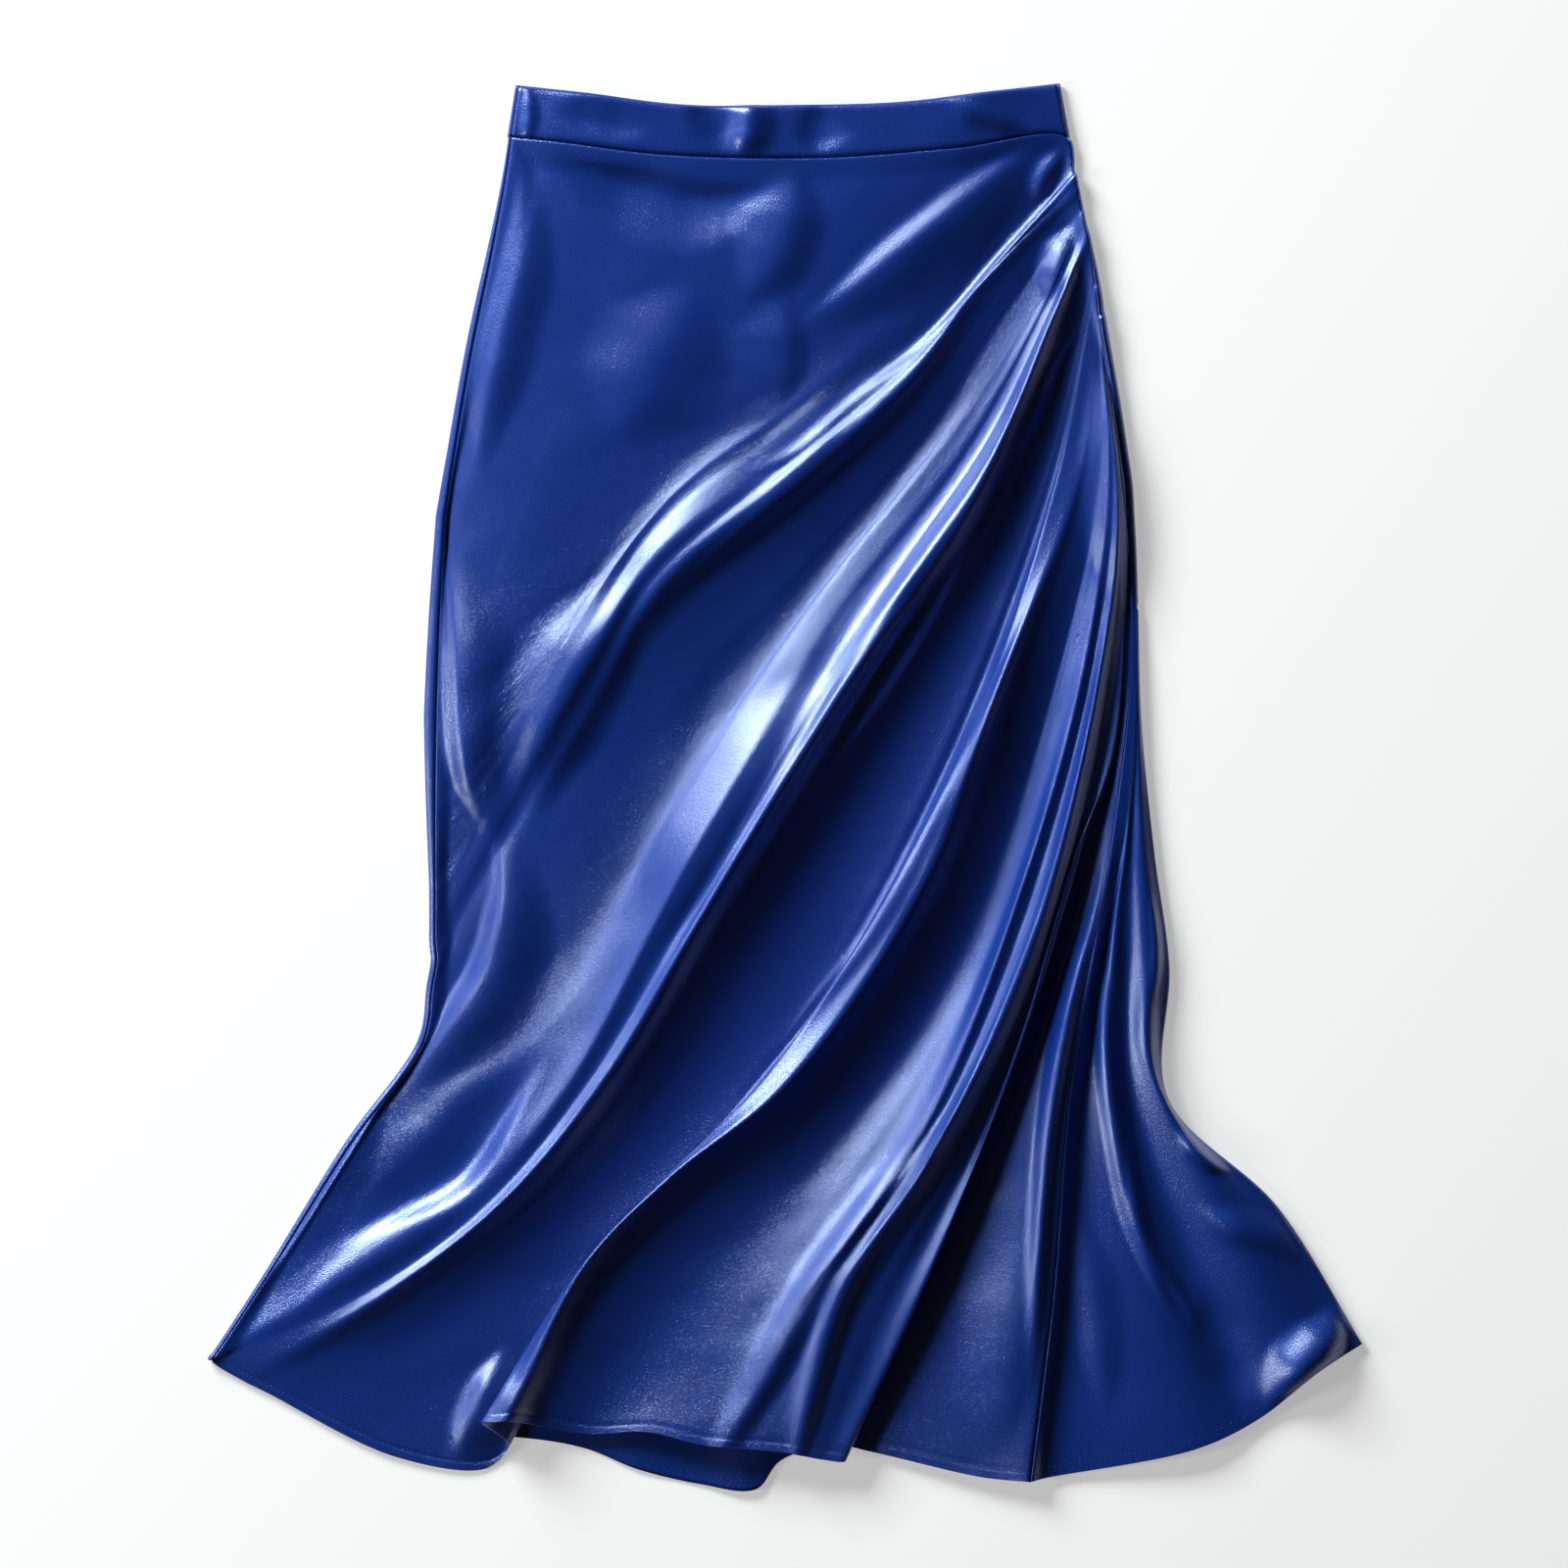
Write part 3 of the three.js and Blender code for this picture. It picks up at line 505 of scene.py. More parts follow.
def piece_from(name, points, polygons, cloth_map=None):
    """Object of a cloth piece, its place in its mesh, with the map that its weave follows."""
    mesh = bpy.data.meshes.new(name)
    places = (np.asarray(points) + SHIFT) * MM
    mesh.from_pydata(places.tolist(), [], polygons)
    mesh.update()
    mesh.polygons.foreach_set("use_smooth", [True] * len(mesh.polygons))
    layer = mesh.uv_layers.new(name="cloth")
    corners = np.zeros(len(mesh.loops), int)
    mesh.loops.foreach_get("vertex_index", corners)
    flat = places[:, :2] if cloth_map is None else np.asarray(cloth_map) * MM
    layer.data.foreach_set("uv", flat[corners].reshape(-1))
    piece = bpy.data.objects.new(name, mesh)
    bpy.context.collection.objects.link(piece)
    return piece


# ---------------------------------------------------------------- front panel

FRONT_LENGTH = 840
# The pull of a seam and of the hem's stitches on the cloth beside them
SEAM_SINK = 0.4
SEAM_REACH = 1.5
GROOVE_WIDTH = 0.9
GROOVE_DEPTH = 0.35
# Soft folds, and the rounding of the drape, fade out within these distances of a sewn side
FOLD_FADE = 14
ROUND_FADE = 20
# Further than any seam is
UNSEWN = 1e3

front_shares = even(rows_for(ROW_STEPS, FRONT_LENGTH, SEAM_EDGE))


# front_edge is the drape as its lines give it, front_grid the same with its soft folds
front_edge, front_at, front_names = loft(FRONT_LINES, front_shares, STRIP, paired=True)
column_of = {name: int(np.argmin(abs(front_at - k))) for k, name in enumerate(front_names)}
TIP = column_of["hem tip"]
CORNER = column_of["hollow over the tuck"]


def lengths_in(grid):
    """How far each point lies from the left and from the top of a grid, along the cloth."""
    across = np.cumsum(np.linalg.norm(np.diff(grid, axis=1, prepend=grid[:, :1]), axis=2), axis=1)
    down = np.cumsum(np.linalg.norm(np.diff(grid, axis=0, prepend=grid[:1]), axis=2), axis=0)
    return across, down


def seam_sides(grid):
    """Distance of each point of the front panel from its nearest sewn side; the hem isn't sewn."""
    left, top = lengths_in(grid)
    right, bottom = left[:, -1:] - left, top[-1:] - top
    bottom[:, TIP:] = UNSEWN
    return np.minimum.reduce([left, right, top, bottom])


def sink(away, reach=SEAM_REACH, depth=SEAM_SINK):
    """How far a seam pulls in the cloth beside it."""
    return -depth * (1 - np.clip(away / reach, 0, 1)) ** 2


def hem_groove(grid):
    """The line where the hem is stitched, pulled in a little."""
    _, top = lengths_in(grid)
    off = (top[-1:] - top - HEM_DEPTH) / GROOVE_WIDTH
    return -GROOVE_DEPTH * np.exp(-off * off)


def add_folds(grid, folds, fade):
    """Adds the heights of soft folds to a grid, each times fade."""
    for _, rise, left, right, way in folds:
        grid[:, :, 2] += fold_height(grid[:, :, 0], grid[:, :, 1], way, rise, left, right) * fade


def lengths_map(grid):
    """Place of each point of a grid on the flat cloth."""
    across, down = lengths_in(grid)
    return np.stack([across, -down], axis=2)


# How far out the bell of weights goes, in its own widths
BELL = 3


def blurred(values, reach):
    """Values averaged along each row, with a bell of weights that is reach columns wide."""
    span = int(math.ceil(BELL * reach))
    weights = np.exp(-0.5 * (np.arange(-span, span + 1) / reach) ** 2)
    weights /= weights.sum()
    padded = np.pad(values, ((0, 0), (span, span)), mode="edge")
    return sum(w * padded[:, k:k + values.shape[1]] for k, w in enumerate(weights))


SHARP_CRESTS = [
    "foot of the tuck", "tuck, soft crest", "tuck, sharp crest", "long fold, sharp crest",
    "middle fold, sharp crest", "side fold, sharp crest", "draped edge", "under the draped edge",
    "end of the left lobe", "long fold, soft crest", "hem tip",
    "middle fold, soft crest", "hollow of middle fold, soft crest", "side fold, soft crest",
    "hollow of side fold, soft crest"]

# Rounding at a crest, between crests, and by the side from which the folds fan, in columns
CREST_ROUND = 1.9
PLAIN_ROUND = 7
SIDE_ROUND = 13
CREST_REACH = 9
# How far down the cloth that side reaches, and the columns over which it sets in
SIDE_SHARE = 0.34
SIDE_START = 14
# Height that stays as it is, and how much more the rest stands off from it
RELIEF_LEVEL = 13
RELIEF_GAIN = 0.5


def round_off(grid):
    """Rounds the folds: little at the crests, more between them, most at the side they fan from."""
    columns = np.arange(grid.shape[1])
    nearest = np.min([abs(columns - column_of[name]) for name in SHARP_CRESTS], axis=0)
    soft = ease(nearest / CREST_REACH)
    height = grid[:, :, 2]
    rounded = blurred(height, CREST_ROUND) * (1 - soft) + blurred(height, PLAIN_ROUND) * soft
    start = column_of["long fold, sharp crest"]
    down = 1 - ease(front_shares / SIDE_SHARE)
    near_side = down[:, None] * ease((columns - start) / SIDE_START)
    calm = blurred(height, SIDE_ROUND)
    grid[:, :, 2] = rounded * (1 - near_side) + calm * near_side
    grid[:, :, 2] += (grid[:, :, 2] - RELIEF_LEVEL) * RELIEF_GAIN


front_away = seam_sides(front_edge)
front_grid = front_edge.copy()
round_off(front_grid)
edge_fade = ease(front_away / ROUND_FADE)[:, :, None]
front_grid = front_edge * (1 - edge_fade) + front_grid * edge_fade
add_folds(front_grid, SOFT_FOLDS, ease(front_away / FOLD_FADE))
front_grid[:, :, 2] += sink(front_away)
front_grid[:, TIP:, 2] += hem_groove(front_edge)[:, TIP:]
front_normals = grid_normals(front_grid)


def make_front():
    """The front panel, its map laid out by lengths along the cloth."""
    points, polygons = coarse_shell(front_grid, front_normals, CLOTH)
    flat = lengths_map(front_edge)
    flat = np.vstack([flat.reshape(-1, 2), flat[::2, ::2].reshape(-1, 2)])
    return piece_from("front_panel_cloth", points, polygons, flat)


# ---------------------------------------------------------------- back panel

# Steps round a rolled side edge, and points along the hem of the back
ROLL_STEPS = 8
HEM_POINTS = 260

# Part of the back hem that shows below the middle lobe, as shares of the hem. It lies loose this
# far inward, with a bowed far side, in rows that crowd at the edge. Its waves die down inward,
# and over these shares of it at each end.
LOBE = (0.3, 0.555)
LOBE_DEPTH = 40
LOBE_BOW = 4
LOBE_ROWS = 12
LOBE_CLOSE = 1.3
LOBE_FALL = 0.5
LOBE_ENDS = (0.1, 0.06)

# name, rise, place along the edge, its drift per depth inward, width
LOBE_WAVES = [
    ("swell", 3.2, 0.62, 0.1, 0.14),
    ("fold", 4.5, 0.9, -0.15, 0.05),
    ("soft swell", 1.4, 0.25, 0, 0.12),
]


def outward_from(chain, side):
    """Directions in plan square to a chain of points; the first one is level with the waist."""
    ahead = np.vstack([chain[1:], chain[-1:]])
    behind = np.vstack([chain[:1], chain[:-1]])
    run = ahead - behind
    way = np.stack([-side * run[:, 1], side * run[:, 0], 0 * run[:, 0]], axis=1)
    way[0, 1] = 0
    return unit(way)


def rolls_along(chain, side, strip):
    """Half rounds of cloth from seam points out over an edge and down to the surface."""
    distances, widths = zip(*strip)
    width = np.interp(run_of(chain), distances, widths)
    turns = np.pi * np.arange(ROLL_STEPS + 1) / ROLL_STEPS
    turn = np.where(turns == 0, SEAM_GAP / width[:, None], turns)
    outward = outward_from(chain, side)
    grid = chain[:, None] + outward[:, None] * (width[:, None] * np.sin(turn))[:, :, None]
    grid[:, :, 2] = chain[:, 2:] / 2 * (1 + np.cos(turn))
    return grid


# Height that stays as it is, and how much more the flutes stand off from it; that and the soft
# folds of the flare fade out within these distances of its sides
FLARE_LEVEL = 8
FLARE_GAIN = 0.15
FLARE_START = 8
FLARE_FADE = 8.75
EDGE_TURN = 5
# Turn of the right edge down to the surface: shares of EDGE_TURN inward and of the height left
EDGE_TURNS = ((0.08, 0.55), (0.3, 0.2), (1, 0))


def flare_grid():
    """The flare: the seam, the flutes, the right edge, and the turn down to the surface."""
    seam_line = ("pleat seam", 0, 0, FRONT_LINES[-1][3])
    grid, _, _ = loft([seam_line] + FLARE_LINES, front_shares, FLARE_STRIP)
    across, _ = lengths_in(grid)
    away = np.minimum(across, across[:, -1:] - across)
    grid[:, :, 2] += (grid[:, :, 2] - FLARE_LEVEL) * FLARE_GAIN * ease(away / FLARE_START)
    add_folds(grid, FLARE_FOLDS, ease(away / FLARE_FADE))
    seam = front_edge[:, -1]
    grid[:, 0] = seam + unit(grid[:, 1] - seam) * SEAM_GAP
    edge = grid[:, -1]
    inward = unit((grid[:, -2] - edge) * PLAN)
    turns = []
    for share, height in EDGE_TURNS:
        point = edge + inward * EDGE_TURN * share
        point[:, 2] = edge[:, 2] * height
        turns.append(point)
    return np.concatenate([grid, np.stack(turns, axis=1)], axis=1)


def lobe_wave(t, s):
    """Lift of the loose part of the back hem: t runs along the edge, s inward."""
    lift = sum(
        rise * np.exp(-((t - place - drift * s) / width) ** 2)
        for _, rise, place, drift, width in LOBE_WAVES)
    return lift * ease(t / LOBE_ENDS[0]) * ease((1 - t) / LOBE_ENDS[1])


flare_cloth = flare_grid()


def back_face():
    """The back panel's sides, flare, loose hem and underside, and the points of that hem."""
    face = Face()
    left_chain = np.vstack([front_edge[:, 0], front_edge[-1, 1:TIP + 1]])
    left = face.add(rolls_along(left_chain, -1, LEFT_STRIP))
    face.patch(left[:, ::-1])
    right = face.add(rolls_along(front_edge[0, CORNER:], 1, RIGHT_STRIP)[:-1])
    face.patch(right)
    flare = face.add(flare_cloth)
    face.patch(flare)
    face.zip(right[-1].tolist(), flare[0].tolist())

    edge = along([(x, y, 0) for x, y in BACK_HEM], np.linspace(0, 1, HEM_POINTS))[1:-1]
    first, last = (int(share * len(edge)) for share in LOBE)
    outer = face.add(edge)
    depths = np.linspace(0, 1, LOBE_ROWS + 1)[1:] ** LOBE_CLOSE
    t = np.linspace(0, 1, last - first + 1)
    rows = [outer[first:last + 1]]
    top = edge[first:last + 1].copy()
    top[:, 1] = top[:, 1].max() + LOBE_DEPTH + LOBE_BOW * np.sin(np.pi * t)
    for depth in depths:
        row = edge[first:last + 1] + (top - edge[first:last + 1]) * depth
        row[:, 2] = lobe_wave(t, depth) * (1 - depth) ** LOBE_FALL
        rows.append(face.add(row))
    face.points[outer[first:last + 1], 2] = lobe_wave(t, 0)
    lobe = np.array(rows)
    face.patch(lobe)

    plan = front_edge[0, 2:CORNER - 1] * PLAN
    top = face.add(plan)
    around_lobe = [*lobe[:-1, 0], *lobe[-1], *lobe[:-1, -1][::-1]]
    ring = [
        *left[:, -1], *outer[:first], *around_lobe, *outer[last + 1:],
        *flare[::-1, -1], *right[::-1, -1], *top[::-1]]
    face.flat([int(n) for n in ring])
    return face, outer[first:last]


back, loose_hem = back_face()


def make_back():
    """The back panel, its map laid out in plan."""
    points, polygons = shell(back.points, back.polygons, back.normals(), CLOTH)
    return piece_from("back_panel_cloth", points, polygons)


# ---------------------------------------------------------------- waistband

BAND_ROWS = 14
# Height of the top edge at its ends, its rise over a share of the width, and its turn under
BAND_EDGE = 5
BAND_RISE = 6
BAND_ROUND = 0.16
BAND_ROLL = 2.2
# Where the band's folds fade out, and the pull of its top edge and its seam
BAND_FADE = 6
BAND_REACH = 3
BAND_SINK = 0.9


def band_grid(waist):
    """Rows of a waistband from its top edge down to the waist seam."""
    share = (waist[:, 0] - waist[0, 0]) / (waist[-1, 0] - waist[0, 0])
    side = np.minimum(share, 1 - share) / BAND_ROUND
    top = along([(x, y, 0) for x, y in BAND_TOP], share)
    top[:, 2] = BAND_EDGE + BAND_RISE * ease(side)
    low = waist + [0, SEAM_GAP, 0]
    down = np.linspace(0, 1, BAND_ROWS + 1)[:, None, None]
    return top + (low - top) * down


band_edge = band_grid(front_edge[0, :CORNER + 1])

# The same columns as the soft folds
BAND_FOLDS = [
    ("dent left of the middle", -3, 24, 20, [(-60, 428), (-44, 408), (-38, 382)]),
    ("swell of the middle", 5, 20, 13, [(-20, 428), (-24, 404), (-28, 380)]),
    ("dent right of the middle", -2.6, 26, 14, [(24, 420), (18, 402), (20, 382)]),
    ("swell at the right", 2.6, 12, 12, [(92, 424), (122, 410), (150, 400)]),
    ("dent at the right", -2.4, 10, 10, [(104, 414), (128, 400), (160, 392)]),
    ("swell at the left end", 2, 8, 6, [(-160, 432), (-158, 412), (-160, 390)]),
    ("long dent at the left", -2, 18, 14, [(-146, 412), (-110, 406), (-80, 400)]),
]


def make_band_front():
    """The front half of the waistband."""
    grid = band_edge.copy()
    across, _ = lengths_in(grid)
    ends = ease(np.minimum(across, across[:, -1:] - across) / BAND_FADE)
    add_folds(grid, BAND_FOLDS, ends)
    _, below = lengths_in(grid)
    away = np.minimum(below, below[-1:] - below)
    grid[:, :, 2] += sink(away, BAND_REACH, BAND_SINK)
    flat = lengths_map(band_edge).reshape(-1, 2)
    points, polygons = grid_shell(grid, BAND_CLOTH, grid_normals(grid))
    return piece_from("waistband_front_cloth", points, polygons, np.vstack([flat, flat]))


def make_band_back():
    """From the left seam round under to the right seam."""
    floor = band_edge[:, 2:-2] * PLAN
    turns = np.pi * np.arange(ROLL_STEPS + 1) / ROLL_STEPS
    turns[0] = SEAM_GAP / BAND_ROLL

    def end(column, side):
        grid = np.repeat(column[:, None], len(turns), axis=1)
        grid[:, :, 0] += side * BAND_ROLL * np.sin(turns)
        grid[:, :, 2] *= (1 + np.cos(turns)) / 2
        return grid

    left, right = end(band_edge[:, 0], -1), end(band_edge[:, -1], 1)[:, ::-1]
    grid = np.concatenate([left, floor, right], axis=1)[::-1]
    return piece_from("waistband_back_cloth", *grid_shell(grid, BAND_CLOTH))


# ---------------------------------------------------------------- hems

# Rows from the hem's edge up to its stitches
HEM_ROWS = 8

# name, first and last line that the turned hem reaches
FRONT_HEMS = [
    ("front_hem_left_cloth", "hem tip", "end of the left lobe"),
    ("front_hem_middle_cloth", "middle fold, sharp crest", "swell of the middle lobe"),
    ("front_hem_side_cloth", "side fold, sharp crest", "right seam"),
]


def strip_under(name, grid, normals):
    """A turned hem on the inner side of a few rows of cloth."""
    inner = grid - normals * (CLOTH + SEAM_GAP)
    return piece_from(name, *grid_shell(inner, HEM_CLOTH, normals))


front_panel = make_front()
back_panel = make_back()
band_front = make_band_front()
band_back = make_band_back()
front_hem = []
for name, first, last in FRONT_HEMS:
    run = slice(column_of[first], min(column_of[last] + 1, front_grid.shape[1] - 1))
    front_hem.append(strip_under(name, front_grid[-HEM_ROWS:, run], front_normals[-HEM_ROWS:, run]))

# ---------------------------------------------------------------- stitches

STITCH_LENGTH = 2.2
STITCH_PITCH = 3.1
STITCH_LIFT = 0.05
THREAD = 0.22
# The line that a row of stitches follows has its points this far apart
LINE_STEP = 2


def hem_line(grid):
    """The line on a lofted face where its hem is stitched, from its last row upward."""
    _, top = lengths_in(grid)
    below = top[-1:] - top
    normals = grid_normals(grid)
    line = []
    for column in range(grid.shape[1]):
        k = int(np.searchsorted(-below[:, column], -HEM_DEPTH))
        share = (below[k - 1, column] - HEM_DEPTH) / (below[k - 1, column] - below[k, column])
        point = grid[k - 1, column] * (1 - share) + grid[k, column] * share
        line.append(point + normals[k, column] * STITCH_LIFT)
    return np.array(line)


def stitched(name, line):
    """Stitches in a row along a line: one long bead, repeated and bent along the hem."""
    path = bpy.data.curves.new(name + "_path", "CURVE")
    path.dimensions = "3D"
    spline_of = path.splines.new("POLY")
    spline_of.points.add(len(line) - 1)
    places = (line + SHIFT) * MM
    spline_of.points.foreach_set("co", np.c_[places, np.ones(len(places))].reshape(-1))
    guide = bpy.data.objects.new(name + "_path", path)
    bpy.context.collection.objects.link(guide)
    bpy.ops.mesh.primitive_ico_sphere_add(subdivisions=1, radius=0.5 * MM)
    row = bpy.context.object
    row.name = name
    row.scale = (STITCH_LENGTH, 2 * THREAD, 2 * THREAD)
    bpy.ops.object.transform_apply(location=False, rotation=False, scale=True)
    repeat = row.modifiers.new("row", "ARRAY")
    repeat.fit_type = "FIT_CURVE"
    repeat.curve = guide
    repeat.use_relative_offset = False
    repeat.use_constant_offset = True
    repeat.constant_offset_displace = (STITCH_PITCH * MM, 0, 0)
    bend = row.modifiers.new("bend", "CURVE")
    bend.object = guide
    bpy.ops.object.modifier_apply(modifier="row")
    bpy.ops.object.modifier_apply(modifier="bend")
    bpy.data.objects.remove(guide)
    bpy.ops.object.shade_smooth()
    return row


def even_line(line):
    """The same line with its points evenly apart."""
    length = run_of(line)
    at = np.linspace(0, length[-1], int(length[-1] / LINE_STEP) + 1)
    return np.stack([np.interp(at, length, line[:, k]) for k in range(3)], axis=1)


# Each row of stitches stops a strip or two short of its seams
front_line = hem_line(front_grid)[TIP + 2:-2]
flare_line = hem_line(flare_cloth[:, 1:-1 - len(EDGE_TURNS)])[2:-1]
lobe_edge = back.points[loose_hem]
lobe_line = lobe_edge + outward_from(lobe_edge, 1) * HEM_DEPTH + [0, 0, CLOTH + STITCH_LIFT]
stitch_rows = [
    stitched("front_hem_stitches", even_line(front_line)),
    stitched("flare_hem_stitches", even_line(flare_line)),
    stitched("back_hem_stitches", even_line(lobe_line))]

# ---------------------------------------------------------------- materials

def group(name, outputs):
    """A shader group with the outputs named."""
    tree = bpy.data.node_groups.new(name, "ShaderNodeTree")
    for label, kind in outputs:
        tree.interface.new_socket(label, in_out="OUTPUT", socket_type=kind)
    return tree


def add_node(tree, kind, **values):
    """A shader node with its settings, or the defaults of its inputs, by name."""
    item = tree.nodes.new(kind)
    for key, value in values.items():
        if hasattr(item, key):
            setattr(item, key, value)
        else:
            item.inputs[key.replace("_", " ")].default_value = value
    return item


# Heights in metres of the slack in the cloth and of its yarns, and how many of each to the metre
SLACK = 0.002
YARN = 0.0002
SLACKS_A_METRE = 13
YARNS_A_METRE = 1500
# The yarns lie on the bias and are longer than wide, and soft patches change their gloss a little
BIAS = math.radians(45)
YARN_STRETCH = 0.45
PATCHES_A_METRE = 60
PATCH_SHARE = 0.2


def scaled_sum(tree, value, factor, added):
    """Output of value times factor plus added."""
    step = add_node(tree, "ShaderNodeMath", operation="MULTIPLY_ADD")
    tree.links.new(value, step.inputs[0])
    step.inputs[1].default_value = factor
    tree.links.new(added, step.inputs[2])
    return step.outputs[0]


def weave_group():
    """Grain of the satin: the heights of its slack and yarns, and their change of gloss."""
    tree = group("satin grain", [("Height", "NodeSocketFloat"), ("Gloss", "NodeSocketFloat")])
    place = add_node(tree, "ShaderNodeUVMap", uv_map="cloth")
    turn = add_node(tree, "ShaderNodeMapping")
    turn.inputs["Rotation"].default_value = (0, 0, BIAS)
    turn.inputs["Scale"].default_value = (1, YARN_STRETCH, 1)
    tree.links.new(place.outputs[0], turn.inputs["Vector"])
    grain = add_node(tree, "ShaderNodeTexNoise", Scale=YARNS_A_METRE, Detail=2, Roughness=0.6)
    patches = add_node(tree, "ShaderNodeTexNoise", Scale=PATCHES_A_METRE, Detail=2)
    slack = add_node(tree, "ShaderNodeTexNoise", Scale=SLACKS_A_METRE, Detail=1)
    tree.links.new(turn.outputs[0], grain.inputs["Vector"])
    tree.links.new(place.outputs[0], patches.inputs["Vector"])
    tree.links.new(place.outputs[0], slack.inputs["Vector"])
    waves = add_node(tree, "ShaderNodeMath", operation="MULTIPLY")
    tree.links.new(slack.outputs[0], waves.inputs[0])
    waves.inputs[1].default_value = SLACK
    height = scaled_sum(tree, grain.outputs[0], YARN, waves.outputs[0])
    gloss = scaled_sum(tree, patches.outputs[0], PATCH_SHARE, grain.outputs[0])
    out = tree.nodes.new("NodeGroupOutput")
    tree.links.new(height, out.inputs["Height"])
    tree.links.new(gloss, out.inputs["Gloss"])
    return tree


# The yarns gleam blue under a narrow white shine
SATIN = {
    "Metallic": 0.38, "IOR": 1.2, "Coat Weight": 1.0, "Coat Roughness": 0.27, "Coat IOR": 1.8}
# Lowest and highest gloss of the grain, and how far it moves the roughness either way
GLOSS = (0.3, 0.9)
ROUGH_SWING = 0.06


def satin(name, base, rough, grain):
    """One side of the satin: its base colour and roughness over the shared grain."""
    look = bpy.data.materials.new(name)
    look.use_nodes = True
    tree = look.node_tree
    shader = tree.nodes["Principled BSDF"]
    shader.inputs["Base Color"].default_value = (*base, 1)
    shader.inputs["Roughness"].default_value = rough
    for socket, value in SATIN.items():
        shader.inputs[socket].default_value = value
    weave = tree.nodes.new("ShaderNodeGroup")
    weave.node_tree = grain
    spread_gloss = add_node(tree, "ShaderNodeMapRange")
    spread_gloss.inputs["From Min"].default_value = GLOSS[0]
    spread_gloss.inputs["From Max"].default_value = GLOSS[1]
    spread_gloss.inputs["To Min"].default_value = rough - ROUGH_SWING
    spread_gloss.inputs["To Max"].default_value = rough + ROUGH_SWING
    tree.links.new(weave.outputs["Gloss"], spread_gloss.inputs["Value"])
    tree.links.new(spread_gloss.outputs[0], shader.inputs["Roughness"])
    bump = add_node(tree, "ShaderNodeBump", Strength=1, Distance=1)
    tree.links.new(weave.outputs["Height"], bump.inputs["Height"])
    tree.links.new(bump.outputs[0], shader.inputs["Normal"])
    tree.links.new(bump.outputs[0], shader.inputs["Coat Normal"])
    return look


COBALT = (0.0015, 0.032, 0.272)
WRONG_SIDE = (0.0015, 0.029, 0.25)
THREAD_BLUE = (0.004, 0.03, 0.2)

grain = weave_group()
satin_out = satin("cobalt satin", COBALT, 0.48, grain)
satin_in = satin("cobalt satin, wrong side", WRONG_SIDE, 0.6, grain)

for piece, nodes in [
        (front_panel, ["front_panel"]), (back_panel, ["back_panel", "back_hem", "back_hem_flare"]),
        (band_front, ["waistband_front"]), (band_back, ["waistband_back"]),
        (front_hem[0], ["front_hem_left"]), (front_hem[1], ["front_hem_middle"]),
        (front_hem[2], ["front_hem_side"])]:
    piece.data.materials.append(satin_in if piece in front_hem else satin_out)
    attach(piece, "root")
    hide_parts(*nodes)

# Fibres of the thread: how many to the metre, and their height in metres
FIBRES_A_METRE = 9000
FIBRE = 0.00005

thread = bpy.data.materials.new("cobalt thread")
thread.use_nodes = True
shader = thread.node_tree.nodes["Principled BSDF"]
shader.inputs["Base Color"].default_value = (*THREAD_BLUE, 1)
shader.inputs["Roughness"].default_value = 0.55
fibres = add_node(thread.node_tree, "ShaderNodeTexNoise", Scale=FIBRES_A_METRE, Detail=1)
place = thread.node_tree.nodes.new("ShaderNodeTexCoord")
twist = add_node(thread.node_tree, "ShaderNodeBump", Strength=0.5, Distance=FIBRE)
thread.node_tree.links.new(place.outputs["Object"], fibres.inputs["Vector"])
thread.node_tree.links.new(fibres.outputs[0], twist.inputs["Height"])
thread.node_tree.links.new(twist.outputs[0], shader.inputs["Normal"])
for row in stitch_rows:
    row.data.materials.append(thread)
    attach(row, "root")

# ---------------------------------------------------------------- floor, camera and lights

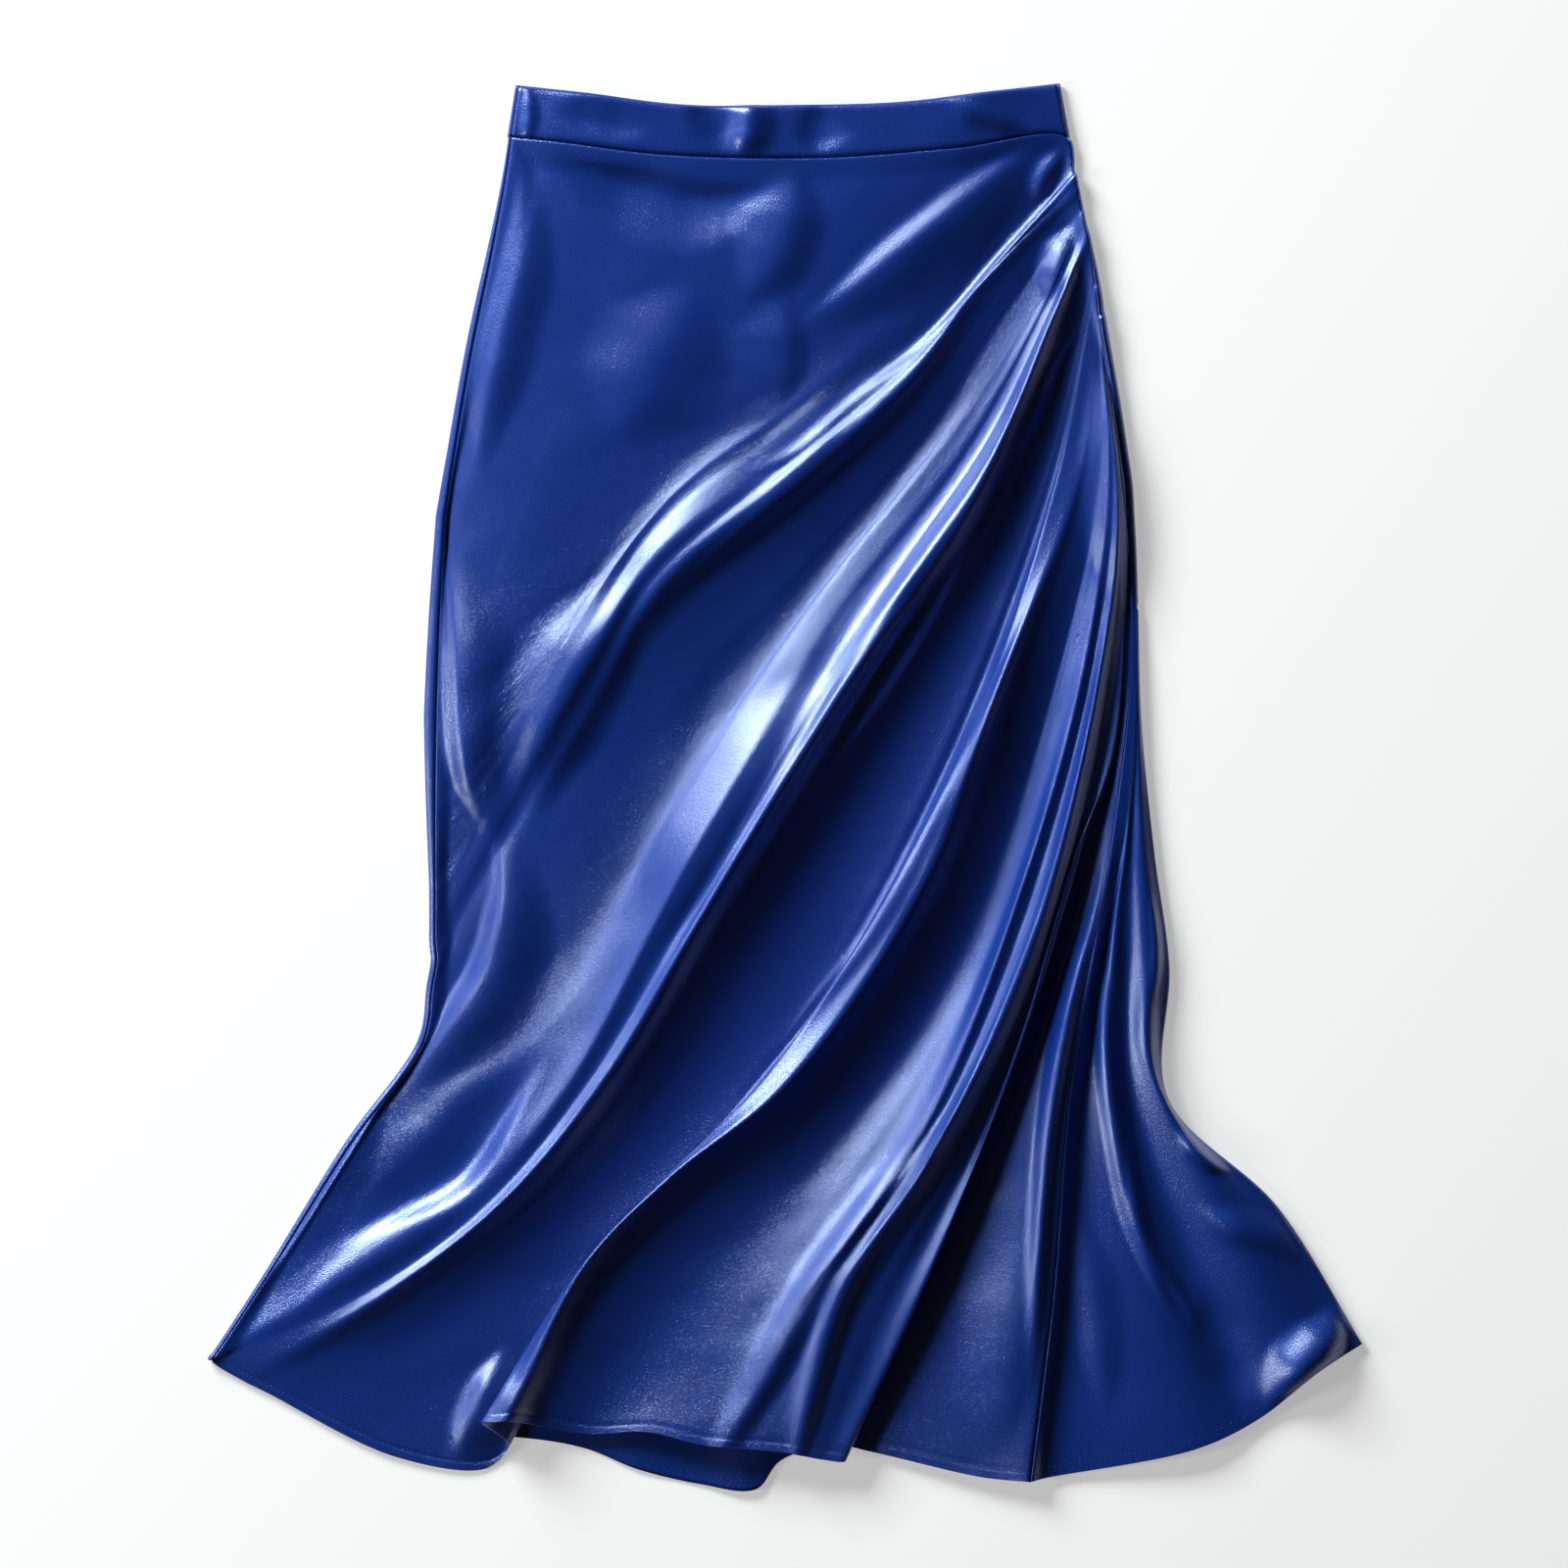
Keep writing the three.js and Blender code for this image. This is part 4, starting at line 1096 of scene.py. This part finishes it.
# A long lens straight above the skirt: its place in metres, its length in millimetres
CAMERA = (-0.0008, 0.002, 5.333)
LENS = 200
FAR_CLIP = 50
FLOOR = 6
PAPER = (0.748, 0.648, 0.638)
PAPER_GLOW = 0.41
ROOM_GLOW = 0.02
# Both lights are a little cool, which the paper's warmth evens out on the floor
KEY_TINT = (0.86, 1.04, 1.04)
STRIP_TINT = (0.89, 1.04, 1.02)

view = bpy.data.objects.new("camera", bpy.data.cameras.new("camera"))
bpy.context.collection.objects.link(view)
view.location = CAMERA
view.data.lens = LENS
view.data.clip_end = FAR_CLIP
bpy.context.scene.camera = view
bpy.context.scene.view_settings.view_transform = "Standard"

paper = bpy.data.materials.new("pale floor")
paper.use_nodes = True
shader = paper.node_tree.nodes["Principled BSDF"]
shader.inputs["Base Color"].default_value = (*PAPER, 1)
shader.inputs["Roughness"].default_value = 0.9
shader.inputs["Specular IOR Level"].default_value = 0
shader.inputs["Emission Color"].default_value = (1, 1, 1, 1)
shader.inputs["Emission Strength"].default_value = PAPER_GLOW
bpy.ops.mesh.primitive_plane_add(size=FLOOR, location=(0, 0, 0))
floor = bpy.context.object
floor.name = "floor"
floor.data.materials.append(paper)

world = bpy.data.worlds.new("room")
bpy.context.scene.world = world
world.use_nodes = True
world.node_tree.nodes["Background"].inputs[0].default_value = (1, 1, 1, 1)
world.node_tree.nodes["Background"].inputs[1].default_value = ROOM_GLOW


def softbox(name, place, aim, size, power, tint):
    """A rectangular light that faces the point it is aimed at."""
    light = bpy.data.lights.new(name, "AREA")
    light.shape = "RECTANGLE"
    light.size, light.size_y = size
    light.energy = power
    light.color = tint
    box = bpy.data.objects.new(name, light)
    bpy.context.collection.objects.link(box)
    box.location = place
    box.rotation_euler = (Vector(aim) - Vector(place)).to_track_quat("-Z", "Y").to_euler()


# name, place, aim, size, watts, tint; both stand low, so that a fold has a bright and a dark side
softbox("key softbox", (-2.9, 3.25, 2.0), (0, 0, 0), (1.9, 1.7), 385, KEY_TINT)
softbox("strip softbox", (-3.9, -0.6, 2.0), (0.1, -0.2, 0), (0.5, 1.4), 60, STRIP_TINT)
